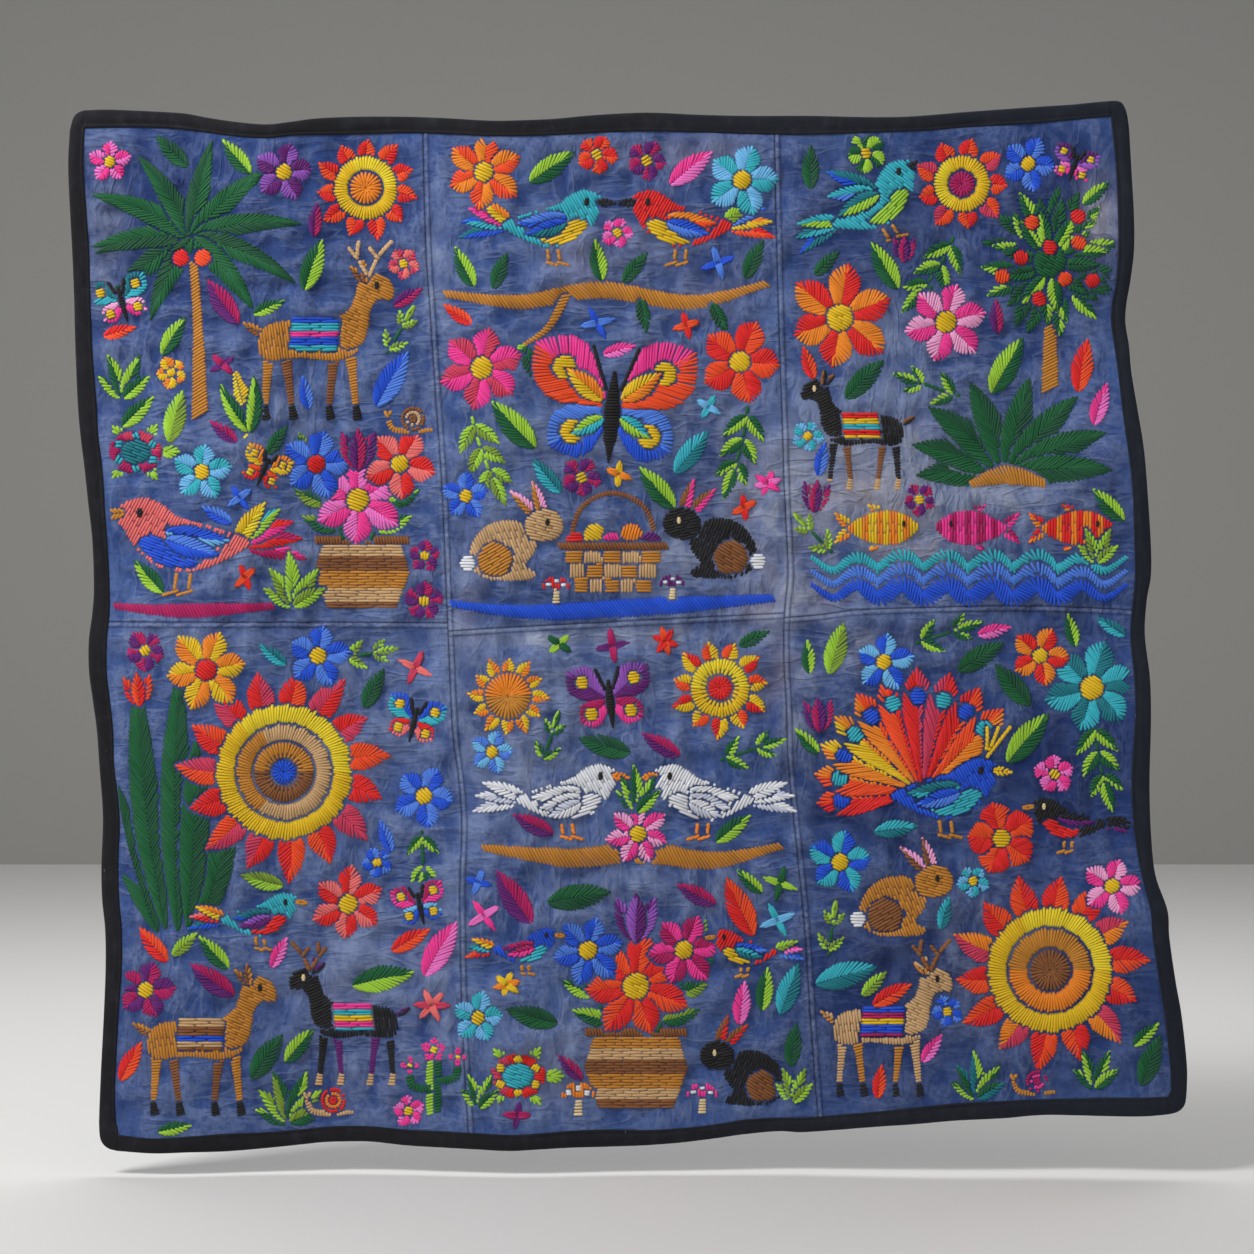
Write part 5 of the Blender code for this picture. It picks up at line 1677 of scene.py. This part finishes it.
def finishWith(shader, base, height, depth):
    feed(shader["Normal"], made("Bump", 0, {"Height": height, "Distance": depth}))
    feed(shader["Base Color"], base)


def screenColours(values):
    return {key: linear(*value) for key,
        value in values.items() if isinstance(value, tuple) and len(value) == 3}


indigoCloth = {
    "mid": (60, 87, 146), "dark": (36, 58, 116), "light": (90, 118, 172), "faded": (176, 182,
        198), "tan": (162, 138, 116),
    "deep": (12, 34, 84), "blue": (38, 74, 152), "wearAndShading": (168, 180, 208), "seam": (18, 23, 44),
    "weave": 1050.0, "weaveDepth": 0.24 * mm, "crease": 0.9 * mm, "finish": (0.86, 0.05, 0.6, 0.2),
}


def makeIndigo():
    material, shader = newMaterial("dyedCotton", indigoCloth["finish"])
    colours = screenColours(indigoCloth)
    broad, streak, fine = useGroup("mottle", Blotches_per_metre=15.0)
    height, shade = useGroup("weave", Threads_per_metre=indigoCloth["weave"], Slub=0.45)
    ridge, furrow = useGroup("creases")
    broad, streak, fine = span(broad, 0.38, 0.62), span(streak, 0.40, 0.62), span(fine, 0.34, 0.66)
    deep, faded, wearAndShading, nearStitchShade = field("deep"), field("faded"), field("wearAndShading"), field("shaded")
    bare = less(deep, 0.75)
    beside = held(held(nearStitchShade, less(nearStitchShade)), 4.0)
    creased = times(ridge, plus(plus(0.30, held(beside, 0.60)), held(faded, 0.5)))
    raised = held(span(wearAndShading, 0.45, 1.5), plus(0.10, held(fine, 0.34)))
    base = mix(held(field("blue"), 0.9), colours["mid"], colours["blue"])
    base = tinted(base, colours, (
        (held(less(broad), 0.50), "dark"),
        (held(held(streak, 0.46), bare), "light"),
        (held(deep, less(streak, 0.28)), "deep"),
        (held(faded, plus(held(faded, 0.30), plus(held(streak, 0.80), held(broad, 0.45)))), "faded"),
        # crease ridges lighter: wear and a painted highlight
        (held(held(creased, 0.26), bare), "wearAndShading"),
        # painted shade in the crease furrows beside the embroidery
        (held(held(furrow, beside), 0.36), "deep"),
        (held(field("stain"), plus(0.10, held(broad, 0.80))), "tan"),
        # raised relief lighter: wear and a painted highlight
        (held(raised, bare), "wearAndShading"),
        # painted shade in the hollows of the relief
        (held(less(span(wearAndShading, -0.9, 0.5)), 0.45), "deep"),
        (held(held(fine, 0.24), bare), "light"),
        (held(less(fine), 0.16), "deep"),
        # painted shadow round the embroidery
        (held(nearStitchShade, 0.36), "deep"),
        # the seam's ridge: wear with a painted highlight
        (held(field("ridge"), plus(held(fine, 0.28), held(faded, 0.25))), "wearAndShading"),
        # painted shade in the seam's grooves
        (held(field("groove"), 0.80), "seam"),
        (held(less(span(shade, 0.30, 1.15)), 0.34), "deep"),
    ))
    height = plus(height, times(creased, indigoCloth["crease"] / indigoCloth["weaveDepth"]))
    finishWith(shader, base, height, indigoCloth["weaveDepth"])
    return material


blackBinding = {
    "black": (20, 20, 25), "blue": (23, 27, 39), "grey": (50, 51, 57), "lint": (196, 194, 190),
    "weave": 1500.0, "weaveDepth": 0.15 * mm, "finish": (0.84, 0.05, 0.5, 0.17),
}


def makeBinding():
    material, shader = newMaterial("blackCotton", blackBinding["finish"])
    colours = screenColours(blackBinding)
    broad, streak, fine = useGroup("mottle", Blotches_per_metre=34.0)
    height, shade = useGroup("weave", Threads_per_metre=blackBinding["weave"], Slub=0.4)
    lint = span(noiseNode(scaled(420, 420, 150), 1.0, 2.0, 0.5, 1.5), 0.77, 0.81)
    base = tinted(colours["black"], colours, (
        (field("blue"), "blue"),
        (times(span(streak, 0.45, 0.80), 0.40), "grey"),
        (times(times(field("fold"), span(fine, 0.42, 0.75)), 0.6), "grey"),
        (times(span(shade, 0.4, 1.2), 0.22), "grey"),
        (times(lint, 0.5), "lint"),
    ))
    finishWith(shader, base, height, blackBinding["weaveDepth"])
    return material


# Yarn colours, and how strongly painted shade darkens each where it dips into the cloth
yarnColours = {
    "red": (226, 32, 30), "flame": (244, 76, 28), "orange": (240, 134, 30), "golden": (232, 190,
        24), "yellow": (240, 212, 40),
    "ochre": (196, 130, 44), "brown": (136, 84, 44), "tan": (206, 166, 118), "green": (14, 92,
        50), "pine": (16, 78, 48),
    "lime": (158, 206, 56), "olive": (124, 154, 48), "aqua": (50, 176, 194), "teal": (18, 118,
        132), "blue": (26, 82, 216),
    "azure": (78, 128, 228), "sky": (110, 184, 236), "pink": (246, 56, 150), "blush": (246, 116, 200),
    "pale": (250, 166, 212), "magenta": (176, 16, 92), "purple": (98, 22, 112), "violet": (146, 82,
        184), "salmon": (238, 112, 110),
    "rose": (206, 56, 90), "black": (26, 24, 26), "white": (232, 234, 242), "silver": (204, 208,
        226), "cream": (228, 204, 156),
    "seamThread": (92, 102, 140), "bindingThread": (14, 14, 17),
}
yarnFinish = {"plyDepth": 0.30 * mm, "dipShade": 0.74, "finish": (0.68, 0.06, 0.4, 0.3)}


def makeYarn(name, screen):
    material, shader = newMaterial("yarn" + name[0].upper() + name[1:], yarnFinish["finish"])
    colour = linear(*screen)
    colours = {
        "dark": tuple(part * 0.22 for part in colour[:3]) + (1.0,),
        "light": tuple(min(1.0, part * 1.25 + 0.012) for part in colour[:3]) + (1.0,),
    }
    height, shade = useGroup("twist", Plies=3.0, Turns_per_metre=85.0)
    base = tinted(colour, colours, (
        (times(field("tone"), 0.45), "light"),
        (times(less(span(shade, 0.05, 0.95)), 0.42), "dark"),
        # painted shade where the yarn sinks into the cloth and along its sides
        (times(span(field("sunkShade"), 0.30, 1.0), yarnFinish["dipShade"]), "dark"),
    ))
    finishWith(shader, base, height, yarnFinish["plyDepth"])
    return material


yarnMaterials = {name: makeYarn(name, screen) for name, screen in yarnColours.items() if name in stitches}
triangles = 0
for name, rows in stitches.items():
    piece = yarnPiece("yarn" + name[0].upper() + name[1:] if "Thread" not in name else name, rows)
    piece.data.materials.append(yarnMaterials[name])
    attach(piece, "root")
    triangles += 2 * len(piece.data.polygons)
print("stage: yarn laid,", triangles, "triangles")

indigo, charcoal = makeIndigo(), makeBinding()
clothSizes = ((0.300, 0.430), (0.292, 0.425), (0.300, 0.430))
hung = []
for row, level in enumerate(("Top", "Bottom")):
    for column, side in enumerate(("Left", "Middle", "Right")):
        cloth = clothPiece("cloth" + level + side, column, row)
        cloth.data.materials.append(indigo)
        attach(cloth, "root")
        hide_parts(("block_" + level + "_" + side).lower())
        hung.append((cloth, clothSizes[column], ["bindingTop"] if row == 0 else ["clothTop" + side]))
for name in ("top", "bottom", "left", "right"):
    outer, inner = levelStations(name) if name in ("top", "bottom") else sideStations(name)
    strip = bindingPiece("binding" + name.title(), outer, inner)
    strip.data.materials.append(charcoal)
    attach(strip, "root")
    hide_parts("binding_" + name)
    length = float(measured((outer + inner) / 2)[1][-1]) * metresPerPixel
for cloth, flat, holders in hung:
    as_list(holders)
print("stage: cloth and binding made")

# The room: a pale floor, a plain grey backdrop, soft light
room = {
    "floorLevel": -0.876, "wallDistance": 3.35, "halfWidth": 9, "front": -6, "height": 6,
    "wallColour": (148, 147, 144), "floorColour": (208, 207, 205), "keyPower": 74.0, "fillPower": 11.0,
    "floorPower": 30.0, "world": 0.32,
}


def stagePlane(name, near, far, screen, roughness):  # right across, from one y and z to another
    side = room["halfWidth"]
    mesh = bpy.data.meshes.new(name)
    mesh.from_pydata([(-side, *near), (side, *near), (side, *far), (-side, *far)], [], [(0, 1, 2, 3)])
    material, shader = newMaterial(name, (roughness,))
    shader["Base Color"].default_value = linear(*screen)
    mesh.materials.append(material)
    linked(name, mesh)


level, wall = room["floorLevel"], room["wallDistance"]
stagePlane("floor", (room["front"], level), (wall, level), room["floorColour"], 0.7)
stagePlane("backdrop", (wall, level), (wall, room["height"]), room["wallColour"], 0.9)


def areaLight(name, spot, target, size, power):
    data = bpy.data.lights.new(name, "AREA")
    data.shape = "RECTANGLE"
    data.size, data.size_y = size
    data.energy = power
    light = linked(name, data)
    light.location = spot
    light.rotation_euler = (Vector(target) - Vector(spot)).to_track_quat("-Z", "Y").to_euler()


centre = (0.02, 0.0, -0.42)
areaLight("keyLight", (-1.5, -1.2, 1.6), centre, (0.9, 0.9), room["keyPower"])
areaLight("fillLight", (2.2, -2.6, 0.2), centre, (2.2, 2.2), room["fillPower"])
areaLight("floorLight", (0.0, 1.1, 1.2), (0.0, 0.95, level), (3.4, 0.9), room["floorPower"])
world = bpy.data.worlds.new("softRoom")
world.use_nodes = True
background = world.node_tree.nodes["Background"].inputs
background["Color"].default_value = (1.0, 1.0, 1.0, 1.0)
background["Strength"].default_value = room["world"]
bpy.context.scene.world = world
bpy.context.scene.view_settings.view_transform = "Standard"

view = {"place": (0.02158, -2.6, -0.42499), "sensor": 36.0, "lens": 89.92}
cameraData = bpy.data.cameras.new("camera")
cameraData.sensor_width = view["sensor"]
cameraData.lens = view["lens"]
camera = linked("camera", cameraData)
camera.location = view["place"]
camera.rotation_euler = (radians(90), 0.0, 0.0)
bpy.context.scene.camera = camera
print("stage: room, lights and camera set")
